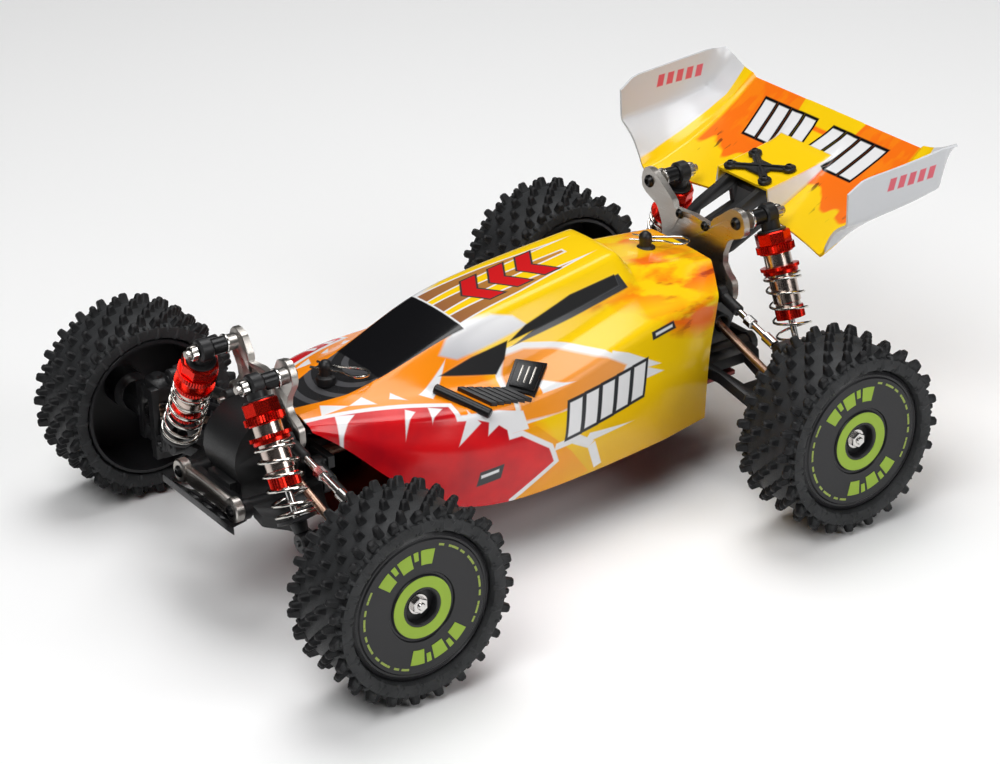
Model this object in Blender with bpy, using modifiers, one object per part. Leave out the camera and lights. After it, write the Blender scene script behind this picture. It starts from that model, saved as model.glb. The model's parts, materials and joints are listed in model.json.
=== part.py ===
"""Four-wheel-drive radio-controlled off-road buggy: chassis, double-wishbone suspension with coil-over
shocks, steering, drive train, clipped-on body shell and rear wing, each piece its own closed solid.

Sizes are written in millimetres and scaled to metres by MM. The car points along -Y, its left side is +X
and +Z is up. Every position is measured from the middle of the wheelbase on the ground; the root empty
then moves the whole car so that the origin is the centre of its footprint.
"""

import math

import bmesh
import bpy
from mathutils import Matrix, Vector

MM = 0.001
GAP = 0.3  # clearance between pieces that touch
RUNNING = 0.3  # radial clearance of pins and shafts
EPS = 0.6  # how far joined shapes reach into each other
LARGE_SIDES = 20  # sides of tyres, wheels and cases; a multiple of four
BOSS_SIDES = 10  # sides of barrels and bosses
PIN_SIDES = 8  # sides of pins, screws and rods

# ---------------------------------------------------------------- driving dimensions
WHEELBASE = 220.0
FRONT_TRACK = 216.0
REAR_TRACK = 208.0
TYRE_RADIUS = 42.5
TYRE_WIDTH = 36.0
RIM_RADIUS = 31.0
RIM_WALL = 1.6
HUB_SHAFT_RADIUS = 2.0
CHASSIS_BOTTOM = 28.0
CHASSIS_THICKNESS = 2.5
CHASSIS_HALF_WIDTH = 43.0
TOWER_THICKNESS = 3.0
ARM_THICKNESS = 5.0
SHELL_THICKNESS = 1.0
WING_THICKNESS = 1.2
SPRING_RADIUS = 8.0
SPRING_WIRE = 1.1
SPRING_TURNS = 6.5
PIN_RADIUS = 1.3
LINK_RADIUS = 1.7
DOGBONE_RADIUS = 1.8
DOGBONE_BALL = 2.5
DIFF_HEIGHT = 62.0
INNER_PIN = (21.0, 47.0)  # x and z of every lower arm's inner hinge pin
OUTER_PIN_HEIGHT = TYRE_RADIUS - 6.5
KINGPIN_INSET = 22.0  # from the wheel's centre plane in to the kingpin axis
CENTRE_SHAFT_HEIGHT = 48.5
POST_RADIUS = 2.6

FRONT_AXLE = -WHEELBASE / 2
REAR_AXLE = WHEELBASE / 2
CHASSIS_TOP = CHASSIS_BOTTOM + CHASSIS_THICKNESS
WING_FRONT = REAR_AXLE + 24.0
WING_CHORD = 60.5
CENTRE_Y = (WING_FRONT + WING_CHORD + FRONT_AXLE - TYRE_RADIUS) / 2

COLOURS = {
    "rubber": ((0.02, 0.02, 0.02), 0.85, 0.0),
    "black_nylon": ((0.03, 0.03, 0.032), 0.5, 0.0),
    "wheel_plastic": ((0.04, 0.04, 0.042), 0.45, 0.0),
    "red_anodised": ((0.62, 0.03, 0.02), 0.3, 1.0),
    "polished_steel": ((0.75, 0.74, 0.72), 0.25, 1.0),
    "spring_steel": ((0.78, 0.76, 0.72), 0.25, 1.0),
    "tower_alloy": ((0.66, 0.64, 0.6), 0.35, 1.0),
    "chassis_alloy": ((0.3, 0.08, 0.07), 0.4, 1.0),
    "shaft_bronze": ((0.5, 0.36, 0.27), 0.35, 1.0),
    "painted_shell": ((0.95, 0.55, 0.03), 0.15, 0.0),
    "motor_can": ((0.55, 0.55, 0.57), 0.35, 1.0),
    "battery_wrap": ((0.05, 0.1, 0.35), 0.5, 0.0),
}


# ---------------------------------------------------------------- scene and helpers
def empty_scene():
    for old in list(bpy.data.objects):
        bpy.data.objects.remove(old, do_unlink=True)
    for name in ("rc_buggy", "cutters"):
        if name not in bpy.data.collections:
            bpy.context.scene.collection.children.link(bpy.data.collections.new(name))


def material(name):
    found = bpy.data.materials.get(name)
    if found:
        return found
    made = bpy.data.materials.new(name)
    made.use_nodes = True
    colour, roughness, metallic = COLOURS[name]
    shader = made.node_tree.nodes["Principled BSDF"]
    shader.inputs["Base Color"].default_value = (*colour, 1.0)
    shader.inputs["Roughness"].default_value = roughness
    shader.inputs["Metallic"].default_value = metallic
    return made


def frame(name, parent=None, at=(0, 0, 0), turn=(0, 0, 0)):
    """An empty that carries the pieces of one joint or one corner."""
    made = bpy.data.objects.new(name, None)
    bpy.data.collections["rc_buggy"].objects.link(made)
    made.location = Vector(at) * MM
    made.rotation_euler = [math.radians(a) for a in turn]
    made.parent = parent
    return made


def add(name, bm, parent, finish=None, origin=(0, 0, 0)):
    """Turns a bmesh in the parent's frame into an object whose own origin is at `origin`."""
    bmesh.ops.translate(bm, vec=-Vector(origin), verts=bm.verts)
    bmesh.ops.scale(bm, vec=(MM, MM, MM), verts=bm.verts)
    mesh = bpy.data.meshes.new(name)
    bm.to_mesh(mesh)
    bm.free()
    made = bpy.data.objects.new(name, mesh)
    made.location = Vector(origin) * MM
    made.parent = parent
    if finish:
        mesh.materials.append(material(finish))
        mesh.shade_smooth()
        mesh.set_sharp_from_angle(angle=math.radians(35))
        bpy.data.collections["rc_buggy"].objects.link(made)
    else:
        made.hide_render = True
        made.display_type = "WIRE"
        bpy.data.collections["cutters"].objects.link(made)
    return made


def boolean(piece, operation, makers):
    """Joins to, or cuts from, the piece each shape of the list, all in the piece's parent's frame."""
    for number, bm in enumerate(makers):
        tool = add(f"{piece.name}_{operation.lower()}_{number}", bm, piece.parent)
        step = piece.modifiers.new(tool.name, "BOOLEAN")
        step.operation = operation
        step.object = tool
    return piece


def solid(name, shapes, parent, finish, cuts=(), origin=(0, 0, 0)):
    piece = add(name, shapes[0], parent, finish, origin)
    boolean(piece, "UNION", shapes[1:])
    return boolean(piece, "DIFFERENCE", cuts)


def box(x, y, z):
    bm = bmesh.new()
    bmesh.ops.create_cube(bm, size=1.0)
    size = (x[1] - x[0], y[1] - y[0], z[1] - z[0])
    bmesh.ops.scale(bm, vec=size, verts=bm.verts)
    middle = ((x[0] + x[1]) / 2, (y[0] + y[1]) / 2, (z[0] + z[1]) / 2)
    bmesh.ops.translate(bm, vec=middle, verts=bm.verts)
    return bm


def rod(start, end, radius, end_radius=None, sides=BOSS_SIDES):
    """A closed cylinder or cone between two points."""
    start, end = Vector(start), Vector(end)
    along = end - start
    bm = bmesh.new()
    bmesh.ops.create_cone(
        bm,
        cap_ends=True,
        segments=sides,
        radius1=radius,
        radius2=radius if end_radius is None else end_radius,
        depth=along.length,
    )
    turn = Vector((0, 0, 1)).rotation_difference(along).to_matrix().to_4x4()
    bmesh.ops.transform(bm, matrix=Matrix.Translation((start + end) / 2) @ turn, verts=bm.verts)
    return bm


def ball(at, radius, sides=PIN_SIDES):
    bm = bmesh.new()
    bmesh.ops.create_uvsphere(bm, u_segments=sides, v_segments=sides // 2 + 1, radius=radius)
    bmesh.ops.translate(bm, vec=at, verts=bm.verts)
    return bm


def plate(outline, depth, plane):
    """A flat outline given as (first, second) pairs, extruded between two depths.

    plane "xy" extrudes along z, "xz" along y and "yz" along x.
    """
    place = {
        "xy": lambda a, b, d: (a, b, d),
        "xz": lambda a, b, d: (a, d, b),
        "yz": lambda a, b, d: (d, a, b),
    }[plane]
    bm = bmesh.new()
    face = bm.faces.new([bm.verts.new(place(a, b, depth[0])) for a, b in outline])
    raised = bmesh.ops.extrude_face_region(bm, geom=[face])["geom"]
    shift = Vector(place(0, 0, depth[1])) - Vector(place(0, 0, depth[0]))
    bmesh.ops.translate(bm, vec=shift, verts=[v for v in raised if isinstance(v, bmesh.types.BMVert)])
    bmesh.ops.recalc_face_normals(bm, faces=bm.faces)
    return bm


def rounded(corners, radii, steps=2):
    """The outline through the corners, each one rounded by an arc of its radius."""
    points = []
    count = len(corners)
    for i, (corner, radius) in enumerate(zip(corners, radii, strict=True)):
        here = Vector(corner)
        before = (Vector(corners[i - 1]) - here).normalized()
        after = (Vector(corners[(i + 1) % count]) - here).normalized()
        if radius <= 0:
            points.append(tuple(here))
            continue
        half = before.angle(after) / 2
        centre = here + (before + after).normalized() * (radius / math.sin(half))
        first = here + before * (radius / math.tan(half)) - centre
        last = here + after * (radius / math.tan(half)) - centre
        for step in range(steps + 1):
            mixed = (first * (steps - step) + last * step).normalized() * radius
            points.append(tuple(centre + mixed))
    return points


def loft(rings):
    """A closed solid through rings of equal length."""
    bm = bmesh.new()
    rows = [[bm.verts.new(p) for p in ring] for ring in rings]
    for near, far in zip(rows, rows[1:]):
        for i in range(len(near)):
            j = (i + 1) % len(near)
            bm.faces.new((near[i], near[j], far[j], far[i]))
    bm.faces.new(rows[0])
    bm.faces.new(rows[-1])
    bmesh.ops.recalc_face_normals(bm, faces=bm.faces)
    return bm


def turned(name, profile, parent, segments, finish=None, closed=True):
    """A profile of (radius, height) points turned about the parent's z axis, with a flat facing +X."""
    bm = bmesh.new()
    half_step = math.pi / segments
    verts = [bm.verts.new((r * math.cos(half_step), r * math.sin(half_step), z)) for r, z in profile]
    for a, b in zip(verts, verts[1:]):
        bm.edges.new((a, b))
    if closed:
        bm.edges.new((verts[-1], verts[0]))
    made = add(name, bm, parent, finish)
    screw = made.modifiers.new("Turn", "SCREW")
    screw.steps = screw.render_steps = segments
    screw.use_merge_vertices = True
    screw.merge_threshold = 0.00001
    screw.use_smooth_shade = True
    return made


# ---------------------------------------------------------------- the four corners
class Corner:
    """Where one wheel's suspension and drive pieces sit; side is +1 on the left and -1 on the right."""

    def __init__(self, end, side):
        front = end == "front"
        self.front = front
        self.side = side
        self.name = f"{end}_{'left' if side > 0 else 'right'}"
        self.y = FRONT_AXLE if front else REAR_AXLE
        self.wheel_x = (FRONT_TRACK if front else REAR_TRACK) / 2
        self.kingpin_x = self.wheel_x - KINGPIN_INSET
        self.outer_pin = (self.kingpin_x - 16.0, OUTER_PIN_HEIGHT)
        self.away = -1.0 if front else 1.0  # from the axle towards the car's own end
        self.tower_face = self.y + self.away * (-4.5 if front else 6.5)
        self.shock_y = self.tower_face + self.away * 14.5
        self.shock_top = (20.5, 99.5) if front else (31.0, 110.5)
        self.shock_low = (self.outer_pin[0] - 17.0, 43.0) if front else (self.outer_pin[0] - 9.0, 43.0)
        self.link_y = self.y - 0.5 + (2.0 if front else 1.0)
        self.link_in = (24.0, 73.0) if front else (24.0, 76.0)
        self.link_out = (self.outer_pin[0] + 4.0, 63.4) if front else (self.outer_pin[0] + 0.0, 64.0)

    def at(self, x, y, z):
        return (self.side * x, y, z)

    def rod(self, start, end, *sizes, **more):
        return rod(self.at(*start), self.at(*end), *sizes, **more)

    def box(self, x, y, z):
        return box(sorted((self.side * x[0], self.side * x[1])), y, z)

    def plate(self, outline, depth, plane):
        if plane == "yz":
            return plate(outline, sorted((self.side * depth[0], self.side * depth[1])), plane)
        return plate([(self.side * a, b) for a, b in outline], depth, plane)


def make_tyre(corner, wheel):
    half = TYRE_WIDTH / 2
    bead = RIM_RADIUS + GAP
    tread = TYRE_RADIUS / math.cos(math.pi / LARGE_SIDES)  # so that the flat it stands on touches the ground
    profile = [
        (tread, half - 5.5),
        (tread, 5.5 - half),
        (TYRE_RADIUS - 2.4, 1.6 - half),
        (TYRE_RADIUS - 7.0, -half),
        (bead + 1.2, 2.0 - half),
        (bead, 3.4 - half),
        (bead, half - 3.4),
        (bead + 1.2, half - 2.0),
        (TYRE_RADIUS - 7.0, half),
        (TYRE_RADIUS - 2.4, half - 1.6),
    ]
    turned(f"{corner.name}_tyre", profile, wheel, LARGE_SIDES, "rubber")


WHEEL_FACE = 15.6  # the cover disc's outer face, from the wheel's centre plane
WHEEL_BACK = -16.5
RECESS_RADIUS = 6.5
RECESS_DEPTH = 4.1
BOSS_BACK = 4.0


def make_wheel(corner, wheel):
    bore = HUB_SHAFT_RADIUS + RUNNING
    inner = RIM_RADIUS - RIM_WALL
    disc_back = WHEEL_FACE - 2.2
    profile = [
        (RIM_RADIUS - 0.7, WHEEL_FACE),
        (RIM_RADIUS, WHEEL_FACE - 0.7),
        (RIM_RADIUS, WHEEL_BACK),
        (inner, WHEEL_BACK),
        (inner, disc_back),
        (RECESS_RADIUS + 2.0, disc_back),
        (RECESS_RADIUS + 2.0, BOSS_BACK),
        (bore, BOSS_BACK),
        (bore, WHEEL_FACE - RECESS_DEPTH),
        (RECESS_RADIUS, WHEEL_FACE - RECESS_DEPTH),
        (RECESS_RADIUS, WHEEL_FACE),
    ]
    turned(f"{corner.name}_wheel", profile, wheel, LARGE_SIDES, "wheel_plastic")


CUP_BORE = DOGBONE_BALL + 1.4
CUP_RADIUS = CUP_BORE + 1.0
CUP_REACH = 3.6  # from the ball's centre to the mouth of a gearbox's drive cup
CUP_MOUTH = 2.2  # from the kingpin axis in to the mouth of a wheel axle's cup
CUP_DEPTH = 5.0  # from the kingpin axis to the outer end of a wheel axle's cup


def make_axle(corner, wheel):
    """The wheel axle: drive cup, shaft through the bearings, hexagon and wheel nut."""
    cup_in = -KINGPIN_INSET - CUP_MOUTH
    cup_out = -KINGPIN_INSET + CUP_DEPTH
    nut_back = WHEEL_FACE - RECESS_DEPTH + GAP
    profile = [
        (0, WHEEL_FACE - 0.2),
        (1.3, WHEEL_FACE - 0.2),
        (1.6, WHEEL_FACE - 0.8),
        (1.6, nut_back + 2.4),
        (3.4, nut_back + 2.4),
        (3.4, nut_back),
        (HUB_SHAFT_RADIUS, nut_back),
        (HUB_SHAFT_RADIUS, BOSS_BACK - GAP),
        (6.0, BOSS_BACK - GAP),
        (6.0, BOSS_BACK - GAP - 3.0),
        (HUB_SHAFT_RADIUS, BOSS_BACK - GAP - 3.0),
        (HUB_SHAFT_RADIUS, cup_out + 0.6),
        (CUP_RADIUS, cup_out),
        (CUP_RADIUS, cup_in),
        (CUP_BORE, cup_in),
        (CUP_BORE, cup_out - 1.0),
        (0, cup_out - 1.0),
    ]
    turned(f"{corner.name}_wheel_axle", profile, wheel, PIN_SIDES, "polished_steel", closed=False)


ARM_BARREL = 3.6
ARM_REACH = 17.0  # the barrel's ends, towards the car's own end and back from it
ARM_BACK = 16.0
FORK_INNER = 5.0  # half the gap between the arm's outer ears
FORK_OUTER = 9.0


def make_arm(corner, root):
    """A ribbed lower wishbone: hinge barrel, windowed blade, outer fork and shock pin."""
    (xi, zi), (xo, zo) = INNER_PIN, corner.outer_pin
    y, away = corner.y, corner.away
    (xs, zs), reach, back = corner.shock_low, ARM_REACH, ARM_BACK
    slope = (zo - zi) / (xo - xi)
    tip = xo - 5.5
    edge = 6.4 if corner.front else 10.5  # the blade's half width on the shock's side
    front_y, low_y = y + away * edge, y - away * 10.5
    start = xi + ARM_BARREL - EPS

    def height(x):
        return zi + slope * (x - xi)

    outline = rounded(
        [
            (start, y - away * (back - 0.5)),
            (start, y + away * (reach - 0.5)),
            (start + 7.0, y + away * (reach - 0.5)),
            (xi + 18.0, front_y),
            (min(xs + 5.2, tip - 1.0), front_y),
            (tip, y + away * FORK_OUTER),
            (tip, y - away * FORK_OUTER),
            (xi + 16.0, low_y),
        ],
        [0, 0, 2.0, 6.0, 0, 0, 0, 6.0],
    )
    window = [
        (xi + 9.0, y - away * 9.0),
        (xi + 9.0, y + away * (edge - 1.5)),
        (tip - 13.0, y + away * (edge - 3.6)),
        (tip - 13.0, y - away * 5.0),
    ]

    def tilted(points, half):
        made = corner.plate(points, (-half, half), "xy")
        for vert in made.verts:
            vert.co.z += height(abs(vert.co.x))
        return made

    half = ARM_THICKNESS / 2
    ears = []
    for y0, y1 in ((FORK_INNER, FORK_OUTER), (-FORK_OUTER, -FORK_INNER)):
        ears.append(corner.rod((xo, y + y0, zo), (xo, y + y1, zo), 3.8))
        ears.append(
            corner.plate(
                [(tip - 2.0, height(tip) - half + 0.4), (xo, zo - 3.5), (xo, zo + 3.5)]
                + [(tip - 2.0, height(tip) + half - 0.7)],
                (y + y0 + 0.1, y + y1 - 0.1),
                "xz",
            )
        )
    shock_edge = corner.shock_y - away * 3.4
    pin_end = corner.shock_y + away * 3.6
    post = corner.rod((xs, y + away * (edge - 3.4), zs), (xs, shock_edge, zs), 3.4)
    foot_y = sorted((y + away * (edge - 3.0), y + away * (edge - 0.2)))
    foot = corner.box((xs - 3.0, xs + 3.0), foot_y, (height(xs), zs - 0.4))
    solid(
        f"{corner.name}_lower_arm",
        [
            tilted(outline, half),
            corner.rod((xi, y - away * back, zi), (xi, y + away * reach, zi), ARM_BARREL),
            *ears,
            post,
            foot,
            corner.rod((xs, y, zs), (xs, pin_end, zs), PIN_RADIUS, sides=PIN_SIDES),
        ],
        root,
        "black_nylon",
        cuts=[
            tilted(window, ARM_THICKNESS),
            corner.rod((xi, y - 30, zi), (xi, y + 30, zi), PIN_RADIUS + RUNNING, sides=PIN_SIDES),
            corner.rod((xo, y - 20, zo), (xo, y + 20, zo), PIN_RADIUS + RUNNING, sides=PIN_SIDES),
        ],
        origin=corner.at(xi, y, zi),
    )


CARRIER_TOP = 13.5  # half height inside a front carrier's jaws
CARRIER_ARM = 3.2


def make_front_carrier(corner, root):
    """The caster block between arm and knuckle, with its hinge pin, kingpin heads and link ear."""
    y, zc = corner.y, TYRE_RADIUS
    xk, (xq, zq) = corner.kingpin_x, corner.outer_pin
    xv, zv = corner.link_out
    frame_in, frame_out = xk - 11.0, xk - 7.0
    top, low = zc + CARRIER_TOP, zc - CARRIER_TOP
    frame_low, frame_top = low - CARRIER_ARM + 0.4, top + CARRIER_ARM - 0.4
    link_far = corner.link_y + 2.8
    jaws = []
    for base, sign in ((top, 1), (low, -1)):
        tip = base + sign * CARRIER_ARM
        jaws.append(corner.box((frame_in, xk), (y - 5, y + 5), sorted((base, tip))))
        jaws.append(corner.rod((xk, y, base), (xk, y, tip + sign * 0.01), 5.0))
        jaws.append(corner.rod((xk, y, tip - sign * EPS), (xk, y, tip + sign * 1.6), 2.6, sides=PIN_SIDES))
    solid(
        f"{corner.name}_caster_block",
        [
            corner.box((frame_in, frame_out), (y - 8.5, y + 8.5), (frame_low, frame_top)),
            *jaws,
            corner.box((xq - 2.0, frame_in + EPS), (y - 4.7, y + 4.7), (zq - 3.4, zq + 3.2)),
            corner.rod((xq, y - 4.7, zq), (xq, y + 4.7, zq), 3.6),
            corner.rod((xq, y - 10.4, zq), (xq, y + 10.4, zq), PIN_RADIUS, sides=PIN_SIDES),
            corner.box((xv - 3.0, frame_out - 0.3), (link_far, link_far + 3.0), (top, zv + 2.6)),
            corner.rod((xv, link_far + 1.0, zv), (xv, corner.link_y - 2.8, zv), PIN_RADIUS, sides=PIN_SIDES),
        ],
        root,
        "black_nylon",
        cuts=[corner.box((frame_in - 4, frame_out + 4), (y - 5.4, y + 5.4), (zc - 6.0, zc + 10.5))],
        origin=corner.at(xq, y, zq),
    )


STUD_REACH = 14.0  # from the kingpin back to the steering stud
STUD_RADIUS = 1.2
STUD_HOLE = 3.5  # wide, because the rod slides the rack straight and the stud swings


def make_knuckle(corner, root):
    """The front steering knuckle: bearing barrel, two kingpin lugs and the steering arm with its stud."""
    y, zc, xk = corner.y, TYRE_RADIUS, corner.kingpin_x
    lug = CARRIER_TOP - GAP
    shapes = [
        corner.rod((xk + 7.4, y, zc), (corner.wheel_x - 0.5, y, zc), 7.0),
        corner.box((xk + 5.0, xk + 9.0), (y - 6.0, y + 6.0), (zc - lug + 0.2, zc + lug - 0.2)),
    ]
    for sign in (1, -1):
        shapes.append(corner.rod((xk, y, zc + sign * 6.4), (xk, y, zc + sign * lug), 4.8))
        heights = sorted((zc + sign * 6.5, zc + sign * lug))
        shapes.append(corner.box((xk, xk + 6.0), (y - 4.6, y + 4.6), heights))
    ys = y + STUD_REACH
    shapes.append(
        corner.plate(
            [(xk + 8.8, y + 2.0), (xk + 8.8, ys - 2.5), (xk + 2.0, ys + 3.0), (xk - 2.6, ys + 2.2)]
            + [(xk - 2.6, ys - 2.2), (xk + 2.0, ys - 3.6), (xk + 5.2, ys - 8.0), (xk + 5.2, y + 2.0)],
            (zc - 4.6, zc - 1.6),
            "xy",
        )
    )
    shapes.append(corner.rod((xk, ys, zc - 3.0), (xk, ys, zc + 4.2), STUD_RADIUS, sides=PIN_SIDES))
    solid(
        f"{corner.name}_steering_knuckle",
        shapes,
        root,
        "black_nylon",
        cuts=[
            corner.rod((xk + 4, y, zc), (corner.wheel_x + 4, y, zc), HUB_SHAFT_RADIUS + RUNNING),
            corner.rod((xk - 8, y, zc), (xk + CUP_DEPTH + 1.2, y, zc), CUP_RADIUS + 0.5),
        ],
        origin=corner.at(xk, y, zc),
    )


def make_rear_carrier(corner, root):
    """The rear hub carrier: bearing barrel, lower lug with its pin and the upper link ear."""
    y, zc, xk = corner.y, TYRE_RADIUS, corner.kingpin_x
    (xq, zq), (xv, zv) = corner.outer_pin, corner.link_out
    wall = xk + CUP_DEPTH + 1.2
    ear = corner.link_y + 2.8
    solid(
        f"{corner.name}_hub_carrier",
        [
            corner.box((wall, wall + 5.0), (y - 8.0, y + 8.0), (zq - 5.4, zv - 3.6)),
            corner.rod((wall + 2.0, y, zc), (corner.wheel_x - 0.5, y, zc), 7.0),
            corner.box((xq, wall + EPS), (y - 4.7, y + 4.7), (zq - 3.6, zq + 0.2)),
            corner.rod((xq, y - 4.7, zq), (xq, y + 4.7, zq), 3.6),
            corner.rod((xq, y - 10.4, zq), (xq, y + 10.4, zq), PIN_RADIUS, sides=PIN_SIDES),
            corner.box((xv - 3.0, wall + EPS), (y - 3.0, ear + 3.0), (zv - 8.0, zv - 4.4)),
            corner.box((xv - 3.0, xv + 5.0), (ear, ear + 3.0), (zv - 6.0, zv + 2.8)),
            corner.rod((xv, ear + 1.0, zv), (xv, corner.link_y - 2.8, zv), PIN_RADIUS, sides=PIN_SIDES),
        ],
        root,
        "black_nylon",
        cuts=[
            corner.rod((wall - 4, y, zc), (corner.wheel_x + 4, y, zc), HUB_SHAFT_RADIUS + RUNNING),
        ],
        origin=corner.at(xq, y, zq),
    )


# ---------------------------------------------------------------- shocks, links and drive shafts
SHOCK = {
    # from the upper pivot down: cap top, cap foot, ring foot, collar top and foot, body foot, seat top
    "front": {"cap": 6.4, "cap_foot": 12.4, "ring_foot": 15.2, "collar": 20.4, "body": 42.2, "seat": 54.6},
    "rear": {"cap": 7.6, "cap_foot": 13.4, "ring_foot": 16.4, "collar": 22.8, "body": 46.4, "seat": 61.2},
}
CAP_RADIUS = 7.9
KNURL_RADIUS = 8.5
CYLINDER_RADIUS = 6.2
EYE_HALF = 3.0
EYE_RADIUS = 4.6
ROD_RADIUS = 1.5
COLLAR_HEIGHT = 3.4
SEAT_HEIGHT = 2.0


def shock_length(corner):
    (xt, zt), (xl, zl) = corner.shock_top, corner.shock_low
    return math.hypot(xl - xt, zt - zl)


def make_shock(corner, root):
    (xt, zt), (xl, zl) = corner.shock_top, corner.shock_low
    lean = math.degrees(math.atan2(xl - xt, zt - zl))
    length = shock_length(corner)
    size = SHOCK["front" if corner.front else "rear"]
    top = corner.at(xt, corner.shock_y, zt)
    pivot = frame(f"{corner.name}_shock_pivot", root, top, (0, -corner.side * lean, 0))
    foot = size["body"]
    gland = ROD_RADIUS + RUNNING
    piston = CYLINDER_RADIUS - 1.5
    collar = size["collar"]
    profile = [
        (0, -size["cap"]),
        (CAP_RADIUS - 0.8, -size["cap"]),
        (CAP_RADIUS, -size["cap"] - 0.8),
        (CAP_RADIUS, -size["cap_foot"]),
        (KNURL_RADIUS, -size["cap_foot"]),
        (KNURL_RADIUS, -size["ring_foot"]),
        (CYLINDER_RADIUS, -size["ring_foot"]),
        (CYLINDER_RADIUS, -collar),
        (KNURL_RADIUS, -collar),
        (KNURL_RADIUS, -collar - COLLAR_HEIGHT),
        (CYLINDER_RADIUS, -collar - COLLAR_HEIGHT),
        (CYLINDER_RADIUS, 5.6 - foot),
        (CYLINDER_RADIUS - 0.4, -foot),
        (gland, -foot),
        (gland, 5.0 - foot),
        (piston, 5.0 - foot),
        (piston, -size["ring_foot"]),
        (0, -size["ring_foot"]),
    ]
    body = turned(f"{corner.name}_shock_body", profile, pivot, BOSS_SIDES, "red_anodised", closed=False)
    boolean(body, "UNION", [rod((0, -EYE_HALF, 0), (0, EYE_HALF, 0), EYE_RADIUS)])
    boolean(body, "UNION", [box((-3.6, 3.6), (-EYE_HALF + 0.1, EYE_HALF - 0.1), (-size["cap"] - EPS, -2.0))])
    boolean(body, "DIFFERENCE", [rod((0, -9, 0), (0, 9, 0), PIN_RADIUS + 0.5 + RUNNING)])

    seat = size["seat"]
    head = size["ring_foot"] + 15.4
    profile = [
        (0, -head),
        (piston - RUNNING, -head),
        (piston - RUNNING, -head - 2.4),
        (ROD_RADIUS, -head - 2.4),
        (ROD_RADIUS, -seat),
        (SPRING_RADIUS + 0.3, -seat),
        (SPRING_RADIUS + 0.3, -seat - SEAT_HEIGHT),
        (2.6, -seat - SEAT_HEIGHT),
        (2.6, -length + 2.0),
        (0, -length + 2.0),
    ]
    made = turned(f"{corner.name}_shock_rod", profile, pivot, BOSS_SIDES, "polished_steel", closed=False)
    eye = [rod((0, -2.8, -length), (0, 2.8, -length), 4.2)]
    boolean(made, "UNION", eye)
    boolean(made, "DIFFERENCE", [rod((0, -9, -length), (0, 9, -length), LOWER_EYE)])

    top = -collar - COLLAR_HEIGHT - SPRING_WIRE / 2 - GAP
    low = -seat + SPRING_WIRE / 2 + GAP
    per_turn = 6
    count = int(SPRING_TURNS * per_turn)
    points = []
    for i in range(count + 1):
        share = i / count
        eased = share + 0.085 * math.sin(2 * math.pi * share) * -1.0
        angle = 2 * math.pi * i / per_turn
        height = top + (low - top) * eased
        points.append((SPRING_RADIUS * math.cos(angle), SPRING_RADIUS * math.sin(angle), height))
    wire(f"{corner.name}_spring", points, SPRING_WIRE / 2, pivot, "spring_steel", 0)


LOWER_EYE = PIN_RADIUS + 1.1


def wire(name, points, radius, parent, finish, resolution=2, at=(0, 0, 0)):
    """A round wire through the points, as a curve with filled ends."""
    curve = bpy.data.curves.new(name, "CURVE")
    curve.dimensions = "3D"
    curve.bevel_depth = radius * MM
    curve.bevel_resolution = resolution
    curve.use_fill_caps = True
    spline = curve.splines.new("POLY")
    spline.points.add(len(points) - 1)
    for spot, point in zip(spline.points, points, strict=True):
        spot.co = (*(Vector(point) * MM), 1.0)
    curve.materials.append(material(finish))
    made = bpy.data.objects.new(name, curve)
    made.parent = parent
    made.location = Vector(at) * MM
    bpy.data.collections["rc_buggy"].objects.link(made)
    return made


LINK_EYE = 3.8
LINK_HALF = 2.2


def make_upper_link(corner, root):
    """The upper link: a turnbuckle with a rod end on the tower and one on the carrier."""
    (xi, zi), (xo, zo), y = corner.link_in, corner.link_out, corner.link_y
    start, end = Vector((xi, y, zi)), Vector((xo, y, zo))
    along = (end - start).normalized()
    neck = [start + along * 3.2, start + along * 15.0, end - along * 13.0, end - along * 3.2]
    solid(
        f"{corner.name}_upper_link",
        [
            corner.rod(neck[1] - along * EPS, neck[2] + along * EPS, LINK_RADIUS, sides=PIN_SIDES),
            corner.rod((xi, y - LINK_HALF, zi), (xi, y + LINK_HALF, zi), LINK_EYE),
            corner.rod((xo, y - LINK_HALF, zo), (xo, y + LINK_HALF, zo), LINK_EYE),
            corner.rod(neck[0], neck[1], 2.5, sides=PIN_SIDES),
            corner.rod(neck[2], neck[3], 2.5, sides=PIN_SIDES),
        ],
        root,
        "polished_steel",
        cuts=[
            corner.rod((xi, y - 9, zi), (xi, y + 9, zi), PIN_RADIUS + RUNNING, sides=PIN_SIDES),
            corner.rod((xo, y - 9, zo), (xo, y + 9, zo), PIN_RADIUS + 1.1),
        ],
        origin=corner.at(xi, y, zi),
    )


DIFF_CUP_X = 22.0  # where a drive shaft's inner ball sits
PLUNGE = 1.2  # how far its outer ball sits in from the kingpin axis, to slide outwards as the wheel rises


def make_drive_shaft(corner, root):
    start = Vector((DIFF_CUP_X, corner.y, DIFF_HEIGHT))
    end = Vector((corner.kingpin_x - PLUNGE, corner.y, TYRE_RADIUS + PLUNGE / 3))
    solid(
        f"{corner.name}_drive_shaft",
        [
            corner.rod(start, end, DOGBONE_RADIUS, sides=PIN_SIDES),
            ball(corner.at(*start), DOGBONE_BALL),
            ball(corner.at(*end), DOGBONE_BALL),
        ],
        root,
        "shaft_bronze",
        origin=corner.at(*start),
    )


# ---------------------------------------------------------------- chassis, gearboxes and towers
RAMP_START = FRONT_AXLE + 25.0
RAMP_SLOPE = 0.28
CHASSIS_FRONT = FRONT_AXLE - 21.0
CHASSIS_REAR = REAR_AXLE + 17.0


def ramp(y):
    """How far the front of the chassis has kicked up at y."""
    return max(0.0, RAMP_START - y) * RAMP_SLOPE


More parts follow.
